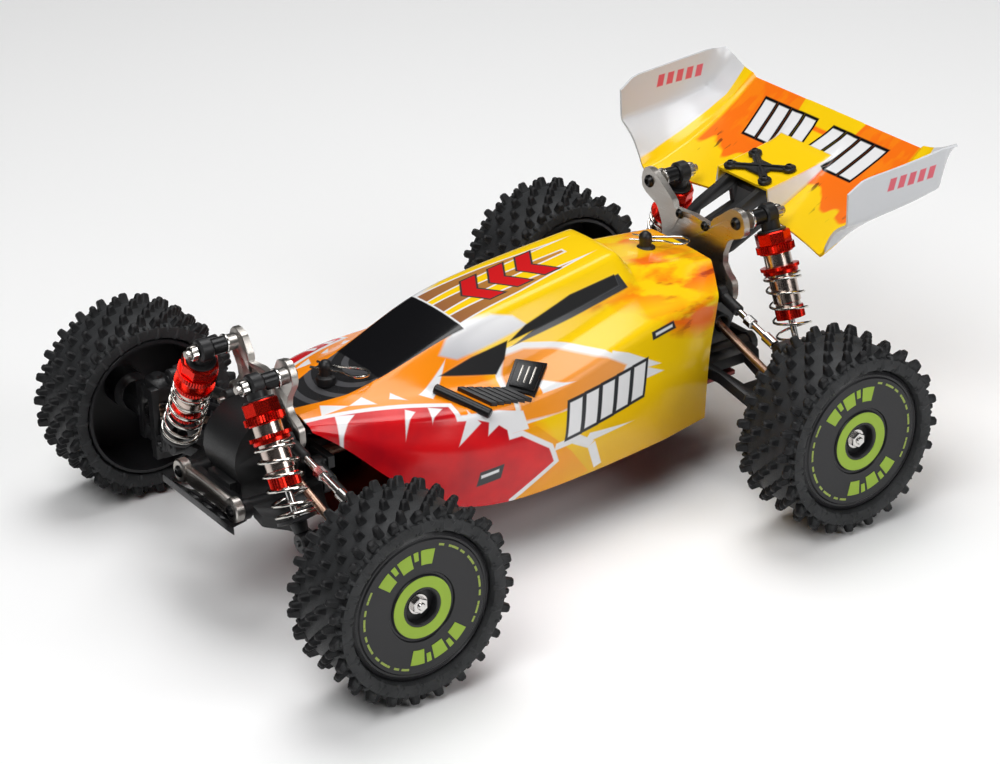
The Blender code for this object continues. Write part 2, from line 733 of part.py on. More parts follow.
def make_chassis(root):
    wide = CHASSIS_HALF_WIDTH
    stations = [
        (CHASSIS_FRONT, 13.0),
        (FRONT_AXLE + 15.0, 13.5),
        (RAMP_START, 24.0),
        (RAMP_START + 16.0, wide - 3.0),
        (RAMP_START + 40.0, wide),
        (REAR_AXLE - 55.0, wide - 2.0),
        (REAR_AXLE - 30.0, wide - 8.0),
        (REAR_AXLE - 17.0, 15.0),
        (CHASSIS_REAR, 14.0),
    ]
    rings = []
    for y, half in stations:
        low, high = CHASSIS_BOTTOM + ramp(y), CHASSIS_TOP + ramp(y)
        rings.append([(-half, y, low), (half, y, low), (half, y, high), (-half, y, high)])
    solid("chassis_plate", [loft(rings)], root, "chassis_alloy")


CASE_HALF = 13.0
CASE_RADIUS = 17.5


def make_gearbox(end, root):
    """A gearbox case with its diff cups, hinge-pin braces and pins, and the body post it carries."""
    front = end == "front"
    y = FRONT_AXLE if front else REAR_AXLE
    away = -1.0 if front else 1.0
    floor = (CHASSIS_TOP + ramp(CHASSIS_FRONT)) + GAP if front else CHASSIS_TOP + GAP
    xi, zi = INNER_PIN
    shapes = [
        rod((-CASE_HALF, y, DIFF_HEIGHT), (CASE_HALF, y, DIFF_HEIGHT), CASE_RADIUS, sides=LARGE_SIDES),
        box((-CASE_HALF + 0.5, CASE_HALF - 0.5), (y - 15.0, y + 15.0), (floor + 1.0, DIFF_HEIGHT - 2.0)),
        rod((-DIFF_CUP_X - CUP_REACH, y, DIFF_HEIGHT), (DIFF_CUP_X + CUP_REACH, y, DIFF_HEIGHT), CUP_RADIUS),
    ]
    spans = {
        "outer": sorted((y + away * (ARM_REACH + 0.4), y + away * (ARM_REACH + 3.6))),
        "inner": sorted((y - away * (ARM_BACK + 0.4), y - away * (ARM_BACK + 3.6))),
    }
    for span in spans.values():
        for side in (-1, 1):
            shapes.append(rod((side * xi, span[0], zi), (side * xi, span[1], zi), 4.4))
        shapes.append(box((-xi, xi), span, (zi - 3.4, zi + 3.4)))
    neck = sorted((y + away * 10.0, y + away * (ARM_REACH + 1.4)))
    shapes.append(box((-9.0, 9.0), neck, (floor, zi + 6.0)))
    neck = sorted((y - away * 10.0, y - away * (ARM_BACK + 1.4)))
    shapes.append(box((-9.0, 9.0), neck, (floor, zi + 6.0)))
    for side in (-1, 1):
        pin = [side * xi, spans["inner"][0] + 1.0, zi], [side * xi, spans["outer"][0] + 1.0, zi]
        shapes.append(rod(*pin, PIN_RADIUS, sides=PIN_SIDES))
    if front:
        post_y, post_top, shelf = FRONT_POST_Y, FRONT_POST_TOP, 68.0
    else:
        post_y, post_top, shelf = REAR_POST_Y, REAR_POST_TOP, 72.0
    near = sorted((post_y - away * 3.2, y - away * 6.0))
    shapes.append(box((-3.2, 3.2), near, (shelf, shelf + 4.5)))
    shapes.append(rod((0, post_y, shelf + 1.0), (0, post_y, post_top - 2.0), POST_RADIUS))
    shapes.append(ball((0, post_y, post_top - 3.0), 3.0, sides=12))
    cuts = []
    for side in (-1, 1):
        cups = (side * (DIFF_CUP_X - CUP_REACH + 1.0), side * (DIFF_CUP_X + CUP_REACH + 2.0))
        cuts.append(rod((cups[0], y, DIFF_HEIGHT), (cups[1], y, DIFF_HEIGHT), CUP_BORE))
    shaft_end = y - away * SHAFT_SOCKET
    cuts.append(
        rod((0, shaft_end, CENTRE_SHAFT_HEIGHT), (0, y - away * 40.0, CENTRE_SHAFT_HEIGHT), 2.4 + RUNNING)
    )
    heading = math.radians(FRONT_CLIP_TURN if front else REAR_CLIP_TURN)
    step = Vector((math.cos(heading), math.sin(heading), 0)) * 8.0
    hole = Vector((0, post_y, post_top - CLIP_DROP))
    cuts.append(rod(hole - step, hole + step, CLIP_WIRE / 2 + RUNNING, sides=8))
    solid(f"{end}_gearbox", shapes, root, "black_nylon", cuts)


FRONT_POST_Y = FRONT_AXLE + 34.5
FRONT_POST_TOP = 89.8
REAR_POST_Y = REAR_AXLE - 22.0
REAR_POST_TOP = 103.5
CLIP_DROP = 4.4
CLIP_WIRE = 1.1
FRONT_CLIP_TURN = 33.0
REAR_CLIP_TURN = 45.0
SHAFT_SOCKET = 12.0


LINK_PIN_REACH = 4.6  # from an upper link's centre line to the end of its pin
TOWER_SCREW_X = 9.0
TOWER_SCREW_DROP = 8.5  # from the shock pivots down to the tower's screw holes
SCREW_HOLE_RADIUS = 1.6


def make_tower(end, root):
    """A shock tower plate with its shock spacers and nuts and the upper links' inner pins."""
    front = end == "front"
    corner = Corner(end, 1)
    away = corner.away
    face = corner.tower_face
    (xt, zt), (xl, zl) = corner.shock_top, corner.link_in
    back = face - away * TOWER_THICKNESS
    inner = CASE_HALF + 0.8
    if front:
        half = rounded(
            [(inner, 80.4), (inner, 70.0), (28.5, 68.0), (28.5, 78.0), (17.0, 84.0), (26.5, 98.0)]
            + [(22.0, 106.5), (14.0, 104.0), (9.0, 96.0)],
            [0, 1.0, 3.5, 3.5, 5.0, 5.0, 4.0, 2.0, 5.0],
        )
        half = [(0.0, 80.4), *half, (0.0, 95.0)]
    else:
        half = rounded(
            [(inner, 80.6), (inner, 72.0), (29.0, 72.0), (29.0, 82.0), (20.0, 88.0), (25.5, 101.0)]
            + [(38.0, 106.0), (35.0, 117.5), (27.0, 116.0), (13.0, 106.0)],
            [0, 1.0, 3.5, 4.0, 7.0, 6.0, 5.0, 4.5, 3.0, 5.0],
        )
        half = [(0.0, 80.6), *half, (0.0, 104.5)]
    shapes = [plate(mirrored_pairs(half), sorted((face, back)), "xz")]
    cuts = []
    for side in (-1, 1):
        eye = corner.shock_y - away * (EYE_HALF + GAP)
        nut = corner.shock_y + away * (EYE_HALF + GAP)
        x = side * xt
        shapes.append(rod((x, back, zt), (x, eye, zt), 3.5))
        shapes.append(rod((x, face, zt), (x, nut + away * 5.2, zt), PIN_RADIUS + 0.5, sides=PIN_SIDES))
        shapes.append(rod((x, nut, zt), (x, nut + away * 3.0, zt), 3.2, sides=6))
        x = side * xl
        link_pin = ((x, (face + back) / 2, zl), (x, corner.link_y - LINK_PIN_REACH, zl))
        shapes.append(rod(*link_pin, PIN_RADIUS, sides=PIN_SIDES))
        x, z = side * TOWER_SCREW_X, zt - TOWER_SCREW_DROP
        cuts.append(rod((x, face - 8, z), (x, face + 8, z), SCREW_HOLE_RADIUS, sides=PIN_SIDES))
    foot = CASE_RADIUS + DIFF_HEIGHT
    shapes.append(box((-6.5, 6.5), sorted((face, back)), (foot + GAP, foot + 8.0)))
    solid(f"{end}_shock_tower", shapes, root, "tower_alloy", cuts)



def mirrored_pairs(half):
    """The whole outline from its +X half, which starts and ends on the centre line."""
    return half + [(-x, z) for x, z in reversed(half) if x > 0]


def make_bumper(root):
    """The kicked-up front skid plate, slotted, fixed under the front brace."""
    rings = []
    for y, half, z in (
        (CHASSIS_FRONT + 8.0, 11.5, 0.0),
        (CHASSIS_FRONT - 2.0, 18.0, 0.0),
        (CHASSIS_FRONT - 6.0, 26.5, 0.6),
        (CHASSIS_FRONT - 9.5, 26.5, 3.4),
        (CHASSIS_FRONT - 11.0, 22.0, 5.2),
    ):
        low = CHASSIS_BOTTOM + ramp(y) - GAP - 3.0 + z
        rings.append([(-half, y, low), (half, y, low), (half, y, low + 3.0), (-half, y, low + 3.0)])
    slots = []
    for side in (-1, 0, 1):
        middle = CHASSIS_FRONT - 4.0
        slots.append(box((side * 11.0 - 3.5, side * 11.0 + 3.5), (middle - 1.2, middle + 1.2), (20, 60)))
    solid("front_bumper", [loft(rings)], root, "black_nylon", slots)


# ---------------------------------------------------------------- steering
RACK_Y = FRONT_AXLE + STUD_REACH
RACK_X = 24.0
TIE_DROP = 1.9  # the tie rod's outer end above the axle's height


def tie_inner_height():
    corner = Corner("front", 1)
    slope = (INNER_PIN[1] - OUTER_PIN_HEIGHT) / (corner.outer_pin[0] - INNER_PIN[0])
    return TYRE_RADIUS + TIE_DROP + slope * (corner.kingpin_x - RACK_X)


def make_rack(root):
    """The steering rack: a cross bar with a pin at each end and the tongue the servo drives."""
    z = tie_inner_height()
    bar = (RACK_Y + 4.0, RACK_Y + 7.0)
    pins = [
        rod((side * RACK_X, RACK_Y - 3.0, z), (side * RACK_X, RACK_Y + 5.0, z), PIN_RADIUS, sides=PIN_SIDES)
        for side in (-1, 1)
    ]
    solid(
        "steering_rack",
        [
            box((-RACK_X - 2.6, RACK_X + 2.6), bar, (z - 2.6, z + 2.6)),
            *pins,
            box((-30.0, -8.0), (RACK_Y + 6.0, RACK_Y + 17.0), (z - 1.5, z + 1.5)),
        ],
        root,
        "black_nylon",
        cuts=[box((-27.5, -10.5), (RACK_Y + 9.0, RACK_Y + 15.0), (z - 5, z + 5))],
    )


def make_tie_rod(corner, root):
    y = RACK_Y
    start = Vector((RACK_X, y, tie_inner_height()))
    end = Vector((corner.kingpin_x, y, TYRE_RADIUS + TIE_DROP))
    along = (end - start).normalized()
    across = Vector((0, 9.0, 0))
    solid(
        f"{corner.name}_tie_rod",
        [
            corner.rod(start + along * 3.0, end - along * 4.4, LINK_RADIUS, sides=PIN_SIDES),
            corner.rod((start.x, y - 2.0, start.z), (start.x, y + 2.0, start.z), 3.6),
            corner.rod((end.x, y, end.z - 1.6), (end.x, y, end.z + 1.6), 5.4),
            corner.rod(start + along * 3.0, start + along * 12.0, 2.4, sides=PIN_SIDES),
            corner.rod(end - along * 13.0, end - along * 4.4, 2.3, sides=PIN_SIDES),
        ],
        root,
        "black_nylon",
        cuts=[
            corner.rod(start - across, start + across, PIN_RADIUS + RUNNING, sides=PIN_SIDES),
            corner.rod((end.x, y, end.z - 9), (end.x, y, end.z + 9), STUD_HOLE),
        ],
        origin=corner.at(*start),
    )


SERVO_SHAFT_X = -19.0


def make_servo(root):
    low = CHASSIS_TOP + GAP
    y0 = RACK_Y + 20.0
    x, arm_tip, tip_height = SERVO_SHAFT_X, RACK_Y + 12.0, tie_inner_height() + 2.0
    solid(
        "steering_servo",
        [
            box((-36.0, -12.0), (y0, y0 + 22.0), (low, low + 17.0)),
            box((-38.0, -10.0), (y0 - 3.0, y0 + 25.0), (low + 10.0, low + 12.5)),
            rod((x, y0 + 5.0, low + 16.0), (x, y0 + 5.0, low + 19.0), 4.6),
            box((x - 1.9, x + 1.9), (arm_tip - 2.0, y0 + 7.0), (low + 18.4, low + 21.4)),
            rod((x, arm_tip, low + 19.0), (x, arm_tip, tip_height), 1.6, sides=PIN_SIDES),
        ],
        root,
        "black_nylon",
    )


# ---------------------------------------------------------------- drive train and battery
SPUR_RADIUS = 15.5
SPUR_Y = 12.0
PINION_RADIUS = 5.0
MOTOR_RADIUS = 13.0
MOTOR_LENGTH = 44.0


def make_centre_shaft(root):
    """The centre drive shaft with its spur gear, turned about the y axis."""
    line = frame("centre_shaft_line", root, (0, 0, CENTRE_SHAFT_HEIGHT), (-90, 0, 0))
    rear = REAR_AXLE - SHAFT_SOCKET - GAP
    front = FRONT_AXLE + SHAFT_SOCKET + GAP
    profile = [
        (0, rear),
        (2.4, rear),
        (2.4, SPUR_Y + 6.0),
        (6.0, SPUR_Y + 6.0),
        (6.0, SPUR_Y + 2.0),
        (SPUR_RADIUS, SPUR_Y + 2.0),
        (SPUR_RADIUS, SPUR_Y - 2.0),
        (2.4, SPUR_Y - 2.0),
        (2.4, front),
        (0, front),
    ]
    turned("centre_drive_shaft", profile, line, LARGE_SIDES, "shaft_bronze", closed=False)


def make_motor(root):
    x = -(SPUR_RADIUS + PINION_RADIUS + 0.6)
    z = CENTRE_SHAFT_HEIGHT
    line = frame("motor_line", root, (x, SPUR_Y, z), (-90, 0, 0))
    profile = [
        (0, 8.0 + MOTOR_LENGTH + 3.0),
        (3.0, 8.0 + MOTOR_LENGTH + 3.0),
        (3.0, 8.0 + MOTOR_LENGTH),
        (MOTOR_RADIUS - 1.0, 8.0 + MOTOR_LENGTH),
        (MOTOR_RADIUS, 7.0 + MOTOR_LENGTH),
        (MOTOR_RADIUS, 9.0),
        (MOTOR_RADIUS - 1.0, 8.0),
        (1.6, 8.0),
        (1.6, 2.6),
        (PINION_RADIUS, 2.6),
        (PINION_RADIUS, -2.6),
        (0, -2.6),
    ]
    turned("drive_motor", profile, line, BOSS_SIDES, "motor_can", closed=False)


def make_battery(root):
    low = CHASSIS_TOP + GAP
    bm = box((18.0, 41.0), (-30.0, 52.0), (low, low + 20.0))
    pack = solid("battery_pack", [bm], root, "battery_wrap")
    edge = pack.modifiers.new("Edges", "BEVEL")
    edge.width = 1.5 * MM
    edge.segments = 2


# ---------------------------------------------------------------- body shell, clips and wing
SHELL_SECTIONS = [
    # y, then (x, z) of: crown, roof edge, waist, shoulder, widest point, lower edge
    (-97.0, (0, 76.0), (13.0, 76.4), (17.0, 75.6), (21.0, 74.6), (23.0, 73.6), (24.0, 72.6)),
    (-87.0, (0, 76.8), (14.0, 77.6), (19.0, 77.0), (29.0, 75.6), (34.0, 71.5), (34.5, 66.5)),
    (-75.0, (0, 78.2), (15.5, 79.0), (22.0, 78.2), (36.0, 75.4), (42.5, 66.0), (42.0, 53.0)),
    (-60.0, (0, 83.5), (17.0, 82.6), (26.0, 79.0), (42.0, 74.5), (49.0, 60.0), (46.0, 41.0)),
    (-45.0, (0, 89.0), (18.0, 88.0), (31.0, 78.0), (47.0, 73.0), (54.0, 55.0), (50.0, 31.0)),
    (-20.0, (0, 98.5), (20.5, 97.0), (34.0, 76.0), (50.0, 71.5), (57.0, 50.0), (52.5, 28.0)),
    (5.0, (0, 102.0), (20.5, 100.5), (35.0, 78.0), (50.0, 72.0), (57.0, 50.0), (52.0, 28.0)),
    (30.0, (0, 105.0), (19.5, 103.5), (33.0, 84.0), (48.0, 77.0), (54.5, 51.0), (50.0, 28.0)),
    (60.0, (0, 108.0), (16.5, 107.0), (29.0, 91.0), (44.0, 82.0), (49.0, 54.0), (46.0, 28.0)),
    (66.0, (0, 99.0), (17.0, 99.0), (28.0, 91.0), (43.0, 82.5), (47.5, 55.0), (45.0, 28.0)),
    (84.0, (0, 96.5), (19.5, 96.0), (27.0, 91.0), (40.5, 83.5), (43.5, 56.0), (42.0, 29.0)),
    (98.0, (0, 93.5), (22.0, 92.5), (27.0, 88.0), (36.5, 82.0), (40.0, 58.0), (40.5, 28.5)),
]
SHELL_REAR_RAKE = (9.0, 9.0, 7.0, 2.0, -6.0, -9.0)  # how far each point of the last section leans back


def sheet(name, rows, parent, finish, thickness, holes=()):
    """An open half surface, mirrored and given its wall."""
    bm = bmesh.new()
    grid = [[bm.verts.new(p) for p in row] for row in rows]
    for near, far in zip(grid, grid[1:]):
        for i in range(len(near) - 1):
            bm.faces.new((near[i], far[i], far[i + 1], near[i + 1]))
    made = add(name, bm, parent, finish)
    mirror = made.modifiers.new("Halves", "MIRROR")
    mirror.use_axis = (True, False, False)
    mirror.use_clip = True
    mirror.merge_threshold = 0.0001
    wall = made.modifiers.new("Wall", "SOLIDIFY")
    wall.thickness = thickness * MM
    wall.offset = -1.0
    wall.use_even_offset = True
    return boolean(made, "DIFFERENCE", holes)


def make_shell(root):
    rows = [[(x, y, z) for x, z in section] for y, *section in SHELL_SECTIONS]
    rows[-1] = [(x, y + lean, z) for (x, y, z), lean in zip(rows[-1], SHELL_REAR_RAKE, strict=True)]
    hole = POST_RADIUS + 0.8
    holes = [
        rod((0, FRONT_POST_Y, 60), (0, FRONT_POST_Y, 95), hole),
        rod((0, REAR_POST_Y, 80), (0, REAR_POST_Y, 110), hole),
    ]
    sheet("body_shell", rows, root, "painted_shell", SHELL_THICKNESS, holes)


def make_clip(end, root):
    """A bent-wire body clip: one straight leg through its post, a loop, and a leg beside the post."""
    front = end == "front"
    post_y = FRONT_POST_Y if front else REAR_POST_Y
    top = FRONT_POST_TOP if front else REAR_POST_TOP
    turn = FRONT_CLIP_TURN if front else REAR_CLIP_TURN
    pivot = frame(f"{end}_clip_seat", root, (0, post_y, top - CLIP_DROP), (0, 0, turn))
    points = [(-7.0, 0.0, 0.0), (6.0, 0.0, 0.0)]
    radius = 4.0
    centre = (15.0, 1.6)
    for step in range(11):
        angle = math.radians(-125 + step * 27)
        points.append((centre[0] + radius * math.cos(angle), centre[1] + radius * math.sin(angle), 0.0))
    beside = POST_RADIUS + CLIP_WIRE / 2 + 0.9
    points += [(6.5, beside + 0.4, 0.0), (-2.0, beside, 0.0), (-6.5, beside + 1.6, 0.0)]
    wire(f"{end}_body_clip", points, CLIP_WIRE / 2, pivot, "polished_steel", 1)


WING_SWEEP = 7.5  # how far the middle of the leading edge sits behind its tips
BLADE = [(0, 101), (7, 103), (11, 104.6), (24, 110), (38, 117.6), (50, 125.4), (60.5, 133.4)]  # along, height
PLATFORM = [(0.0, 114.8), (18.0, 117.6), (31.0, 120.0), (38.0, 121.6), (60.5, 133.4)]


def height_on(profile, along):
    """The height of a polyline of (along, height) points."""
    for (a0, z0), (a1, z1) in zip(profile, profile[1:]):
        if along <= a1:
            return z0 + (z1 - z0) * (along - a0) / (a1 - a0)
    return profile[-1][1]


def wing_rows():
    """The wing's half sections from the leading edge to the trailing edge."""
    rows = []
    tops = [(63.6, 103.4), (80, 134), (81, 139), (80.8, 140.5), (80.2, 141.7), (79.6, 142.8), (78.4, 142)]
    edge = [64.0, 63.0, 62.4, 61.6, 60.6, 59.6, 58.8]
    for (along, z), (px, pz), x in zip(BLADE, tops, edge, strict=True):
        inner = WING_SWEEP + along * (1 - WING_SWEEP / WING_CHORD)
        middle = (along + inner) / 2
        y = WING_FRONT + along
        low = height_on(BLADE, inner)
        high = max(low + 0.2, height_on(PLATFORM, inner - WING_SWEEP))
        rows.append(
            [
                (0.0, WING_FRONT + inner, high),
                (17.6, WING_FRONT + inner, high),
                (20.0, WING_FRONT + inner, low),
                (46.0, WING_FRONT + middle, height_on(BLADE, middle)),
                (x - 2.0, y, z),
                (x, y, z + 1.6),
                ((x + px) / 2, y, (z + pz) / 2 + 0.8),
                (px, y, pz),
            ]
        )
    return rows


def make_wing(root):
    sheet("rear_wing", wing_rows(), root, "painted_shell", WING_THICKNESS)


def make_wing_mount(root):
    """Two side plates and cross bars that carry the wing from the rear tower."""
    start = Corner("rear", 1).tower_face + GAP
    seat = WING_FRONT + WING_SWEEP + 1.0
    under = WING_THICKNESS + 2 * GAP
    outline = [
        (start, 86.0),
        (start + 10.0, 88.0),
        (seat + 12.0, 100.0),
        (seat + 19.0, height_on(PLATFORM, 20.0) - under),
        (seat, height_on(PLATFORM, 1.0) - under),
        (start + 8.0, 105.0),
        (start, 99.0),
    ]
    slot = [(start + 6.0, 92.5), (seat + 2.0, 99.5), (seat + 1.0, 106.5), (start + 9.0, 100.5)]
    shapes = []
    cuts = []
    for side in (-1, 1):
        shapes.append(plate(outline, sorted((side * 9.5, side * 12.5)), "yz"))
        cuts.append(plate(slot, sorted((side * 9.0, side * 14.0)), "yz"))
    bars = [
        box((-11.0, 11.0), (start, start + 2.6), (87.0, 97.0)),
        box((-11.0, 11.0), (seat + 4.0, seat + 15.0), (106.5, 109.0)),
    ]
    solid("wing_mount", [shapes[0], bars[0], shapes[1], bars[1]], root, "black_nylon", cuts)


# ---------------------------------------------------------------- the whole car
def main():
    empty_scene()
    root = frame("rc_buggy_root", None, (0, -CENTRE_Y, 0))
    for end in ("front", "rear"):
        for side in (1, -1):
            corner = Corner(end, side)
            at = corner.at(corner.wheel_x, corner.y, TYRE_RADIUS)
            wheel = frame(f"{corner.name}_wheel_centre", root, at, (0, side * 90, 0))
            make_tyre(corner, wheel)
            make_wheel(corner, wheel)
            make_axle(corner, wheel)
            make_arm(corner, root)
            make_shock(corner, root)
            make_upper_link(corner, root)
            make_drive_shaft(corner, root)
            if corner.front:
                make_front_carrier(corner, root)
                make_knuckle(corner, root)
                make_tie_rod(corner, root)
            else:
                make_rear_carrier(corner, root)
        make_gearbox(end, root)
        make_tower(end, root)
        make_clip(end, root)
    make_chassis(root)
    make_bumper(root)
    make_rack(root)
    make_servo(root)
    make_centre_shaft(root)
    make_motor(root)
    make_battery(root)
    make_shell(root)
    make_wing(root)
    make_wing_mount(root)


main()
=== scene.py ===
"""The looks of the radio-controlled buggy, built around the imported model.

Sizes are in millimetres in the car's own frame: origin on the ground midway between the axles,
-Y forwards, +X the car's left side, +Z up. piece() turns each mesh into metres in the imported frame.
"""

import json
import math

import bmesh
import bpy
from mathutils import Matrix, Vector

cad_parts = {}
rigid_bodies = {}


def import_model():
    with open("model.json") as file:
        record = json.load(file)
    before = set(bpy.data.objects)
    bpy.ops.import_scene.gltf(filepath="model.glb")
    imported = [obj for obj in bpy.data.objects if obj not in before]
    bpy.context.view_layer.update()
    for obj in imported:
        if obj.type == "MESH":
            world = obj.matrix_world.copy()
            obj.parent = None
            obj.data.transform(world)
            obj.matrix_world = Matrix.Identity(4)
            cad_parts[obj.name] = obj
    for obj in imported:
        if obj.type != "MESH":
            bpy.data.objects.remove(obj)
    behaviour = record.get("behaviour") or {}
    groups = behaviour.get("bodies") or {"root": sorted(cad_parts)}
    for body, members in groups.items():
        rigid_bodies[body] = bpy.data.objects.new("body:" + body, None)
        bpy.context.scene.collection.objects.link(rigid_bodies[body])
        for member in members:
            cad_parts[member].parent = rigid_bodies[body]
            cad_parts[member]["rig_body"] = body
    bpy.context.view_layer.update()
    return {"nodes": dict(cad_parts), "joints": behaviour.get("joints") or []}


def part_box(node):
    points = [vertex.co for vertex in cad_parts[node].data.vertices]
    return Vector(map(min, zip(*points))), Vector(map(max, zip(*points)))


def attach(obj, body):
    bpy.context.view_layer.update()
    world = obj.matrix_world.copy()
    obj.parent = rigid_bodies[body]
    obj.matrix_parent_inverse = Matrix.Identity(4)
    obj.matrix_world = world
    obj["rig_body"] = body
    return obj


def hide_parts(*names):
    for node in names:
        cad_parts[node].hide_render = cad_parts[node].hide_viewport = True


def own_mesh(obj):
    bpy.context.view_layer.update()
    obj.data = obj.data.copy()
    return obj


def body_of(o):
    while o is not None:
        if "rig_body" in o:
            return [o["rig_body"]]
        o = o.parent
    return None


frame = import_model()
MM = 0.001


def node_box(node):
    low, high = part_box(node)
    return low / MM, high / MM


def raw_centre(node):
    low, high = node_box(node)
    return (low + high) / 2


MIDDLE = Vector((0, (raw_centre("front_left_tyre").y + raw_centre("rear_left_tyre").y) / 2, 0))
JOINTS = {joint["name"]: joint for joint in frame["joints"]}


def centre(node):
    return raw_centre(node) - MIDDLE


def pivot(joint):
    return Vector(JOINTS[joint]["pos_m"]) / MM - MIDDLE


TYRE_LOW, TYRE_HIGH = node_box("front_left_tyre")
TYRE_RADIUS = (TYRE_HIGH.z - TYRE_LOW.z) / 2
TYRE_HALF = (TYRE_HIGH.x - TYRE_LOW.x) / 2


# ---------------- finishes
class Finish:
    """A material under construction: a shader and the maths that feed it, in car millimetres."""

    def __init__(self, name, roughness, metallic=0.0, specular=0.5):
        self.material = bpy.data.materials.new(name)
        self.material.use_nodes = True
        self.tree = self.material.node_tree
        self.shader = self.tree.nodes["Principled BSDF"]
        self.shader.inputs["Roughness"].default_value = roughness
        self.shader.inputs["Metallic"].default_value = metallic
        self.shader.inputs["Specular IOR Level"].default_value = specular
        place = self.node("ShaderNodeTexCoord").outputs["Object"]
        mapping = self.node("ShaderNodeMapping")
        mapping.inputs["Location"].default_value = -MIDDLE
        mapping.inputs["Scale"].default_value = (1 / MM,) * 3
        self.link(place, mapping.inputs["Vector"])
        self.point = mapping.outputs["Vector"]
        parts = self.node("ShaderNodeSeparateXYZ")
        self.link(self.point, parts.inputs[0])
        self.x, self.y, self.z = parts.outputs
        self.side = self.math("ABSOLUTE", self.x)

    def node(self, kind, **values):
        made = self.tree.nodes.new(kind)
        for name, value in values.items():
            setattr(made, name, value)
        return made

    def link(self, source, target):
        self.tree.links.new(source, target)

    def math(self, operation, first, second=0.0, third=0.0):
        made = self.node("ShaderNodeMath", operation=operation)
        for slot, value in zip(made.inputs, (first, second, third)):
            if isinstance(value, (int, float)):
                slot.default_value = value
            else:
                self.link(value, slot)
        return made.outputs[0]

    def times(self, first, second):
        return self.math("MULTIPLY", first, second)

    def length(self, first, second):
        """How far a point with these two coordinates is from the origin."""
        return self.math("SQRT", self.math("ADD", self.times(first, first), self.times(second, second)))

    def beyond(self, value, limit):
        return self.math("SUBTRACT", value, limit)

    def short_of(self, value, limit):
        return self.math("SUBTRACT", limit, value)

    def noise(self, size, stretch=(1, 1, 1), detail=3.0):
        """Noise with features of `size` millimetres, longer along the axes with a larger stretch."""
        scaled = self.node("ShaderNodeVectorMath", operation="MULTIPLY")
        self.link(self.point, scaled.inputs[0])
        scaled.inputs[1].default_value = [1 / (size * s) for s in stretch]
        made = self.node("ShaderNodeTexNoise")
        self.link(scaled.outputs[0], made.inputs["Vector"])
        made.inputs["Scale"].default_value = 1.0
        made.inputs["Detail"].default_value = detail
        return made.outputs["Fac"]

    def ramp(self, value, low, high, to_low=0.0, to_high=1.0):
        made = self.node("ShaderNodeMapRange", clamp=True)
        ends = (("From Min", low), ("From Max", high), ("To Min", to_low), ("To Max", to_high))
        for name, given in ends:
            made.inputs[name].default_value = given
        self.link(value, made.inputs["Value"])
        return made.outputs["Result"]

    def mix(self, share, first, second):
        made = self.node("ShaderNodeMix", data_type="RGBA")
        self.link(share, made.inputs[0])
        for slot, value in ((made.inputs[6], first), (made.inputs[7], second)):
            if isinstance(value, tuple):
                slot.default_value = (*value, 1.0)
            else:
                self.link(value, slot)
        return made.outputs[2]

    def colour(self, socket):
        self.link(socket, self.shader.inputs["Base Color"])

    def bump(self, height, strength, distance=0.1):
        made = self.node("ShaderNodeBump")
        made.inputs["Strength"].default_value = strength
        made.inputs["Distance"].default_value = distance * MM
        self.link(height, made.inputs["Height"])
        self.link(made.outputs["Normal"], self.shader.inputs["Normal"])

    # Shapes are fields, positive inside and in millimetres, so that min, max and plus make new ones.
    def half_plane(self, plane, start, end):
        """Positive to the left of the line from start to end, seen from the side or the top."""
        first, second = {"side": (self.y, self.z), "top": (self.side, self.y)}[plane]
        along = (Vector(end) - Vector(start)).normalized()
        offset = along.y * start[0] - along.x * start[1]
        value = self.math("MULTIPLY_ADD", first, -along.y, offset)
        return self.math("MULTIPLY_ADD", second, along.x, value)

    def convex(self, plane, corners):
        """A convex polygon whose corners run anticlockwise."""
        edges = [self.half_plane(plane, a, b) for a, b in zip(corners, corners[1:] + corners[:1])]
        return self.all_of(*edges)

    def all_of(self, *fields):
        found = fields[0]
        for field in fields[1:]:
            found = self.math("MINIMUM", found, field)
        return found

    def any_of(self, *fields):
        found = fields[0]
        for field in fields[1:]:
            found = self.math("MAXIMUM", found, field)
        return found

    def grown(self, field, by):
        return self.math("ADD", field, by)

    def paint(self, colour, field, soft=0.25):
        """Lays a colour over the base inside the field, with an edge as soft as asked."""
        self.tint(colour, self.ramp(field, -soft, soft))

    def tint(self, colour, share):
        self.base = self.mix(share, self.base, colour)

    def outlined(self, colour, edge_colour, field, width, where):
        """A shape with an outline around it, only where the last field is positive."""
        self.paint(edge_colour, self.all_of(self.grown(field, width), where))
        self.paint(colour, self.all_of(field, where))


PAINT_SPECULAR = 0.4


def plain(
    name, colour, roughness, metallic=0.0, grain=0.6, rough_bump=0.15, shade=0.25, stretch=(1, 1, 1)
):
    """A moulded or machined finish: uneven colour, uneven gloss and a fine grain."""
    made = Finish(name, roughness, metallic, 0.5 if metallic else PAINT_SPECULAR)
    patches = made.noise(14.0)
    darker = tuple(c * (1 - shade) for c in colour)
    made.colour(made.mix(patches, darker, colour))
    fine = made.noise(grain, stretch)
    gloss = made.ramp(fine, 0.3, 0.7, roughness * 0.85, min(1.0, roughness * 1.2))
    made.link(gloss, made.shader.inputs["Roughness"])
    made.bump(fine, rough_bump, 0.05)
    return made.material


YELLOW = (0.93, 0.6, 0.004)
DEEP_YELLOW = (0.78, 0.42, 0.004)
ORANGE = (0.95, 0.27, 0.006)
FLAME = (0.93, 0.17, 0.006)
RED = (0.72, 0.006, 0.01)
WHITE = (0.8, 0.8, 0.81)
BROWN = (0.3, 0.12, 0.045)
SOOT = (0.004, 0.004, 0.005)
SLATE = (0.035, 0.036, 0.04)


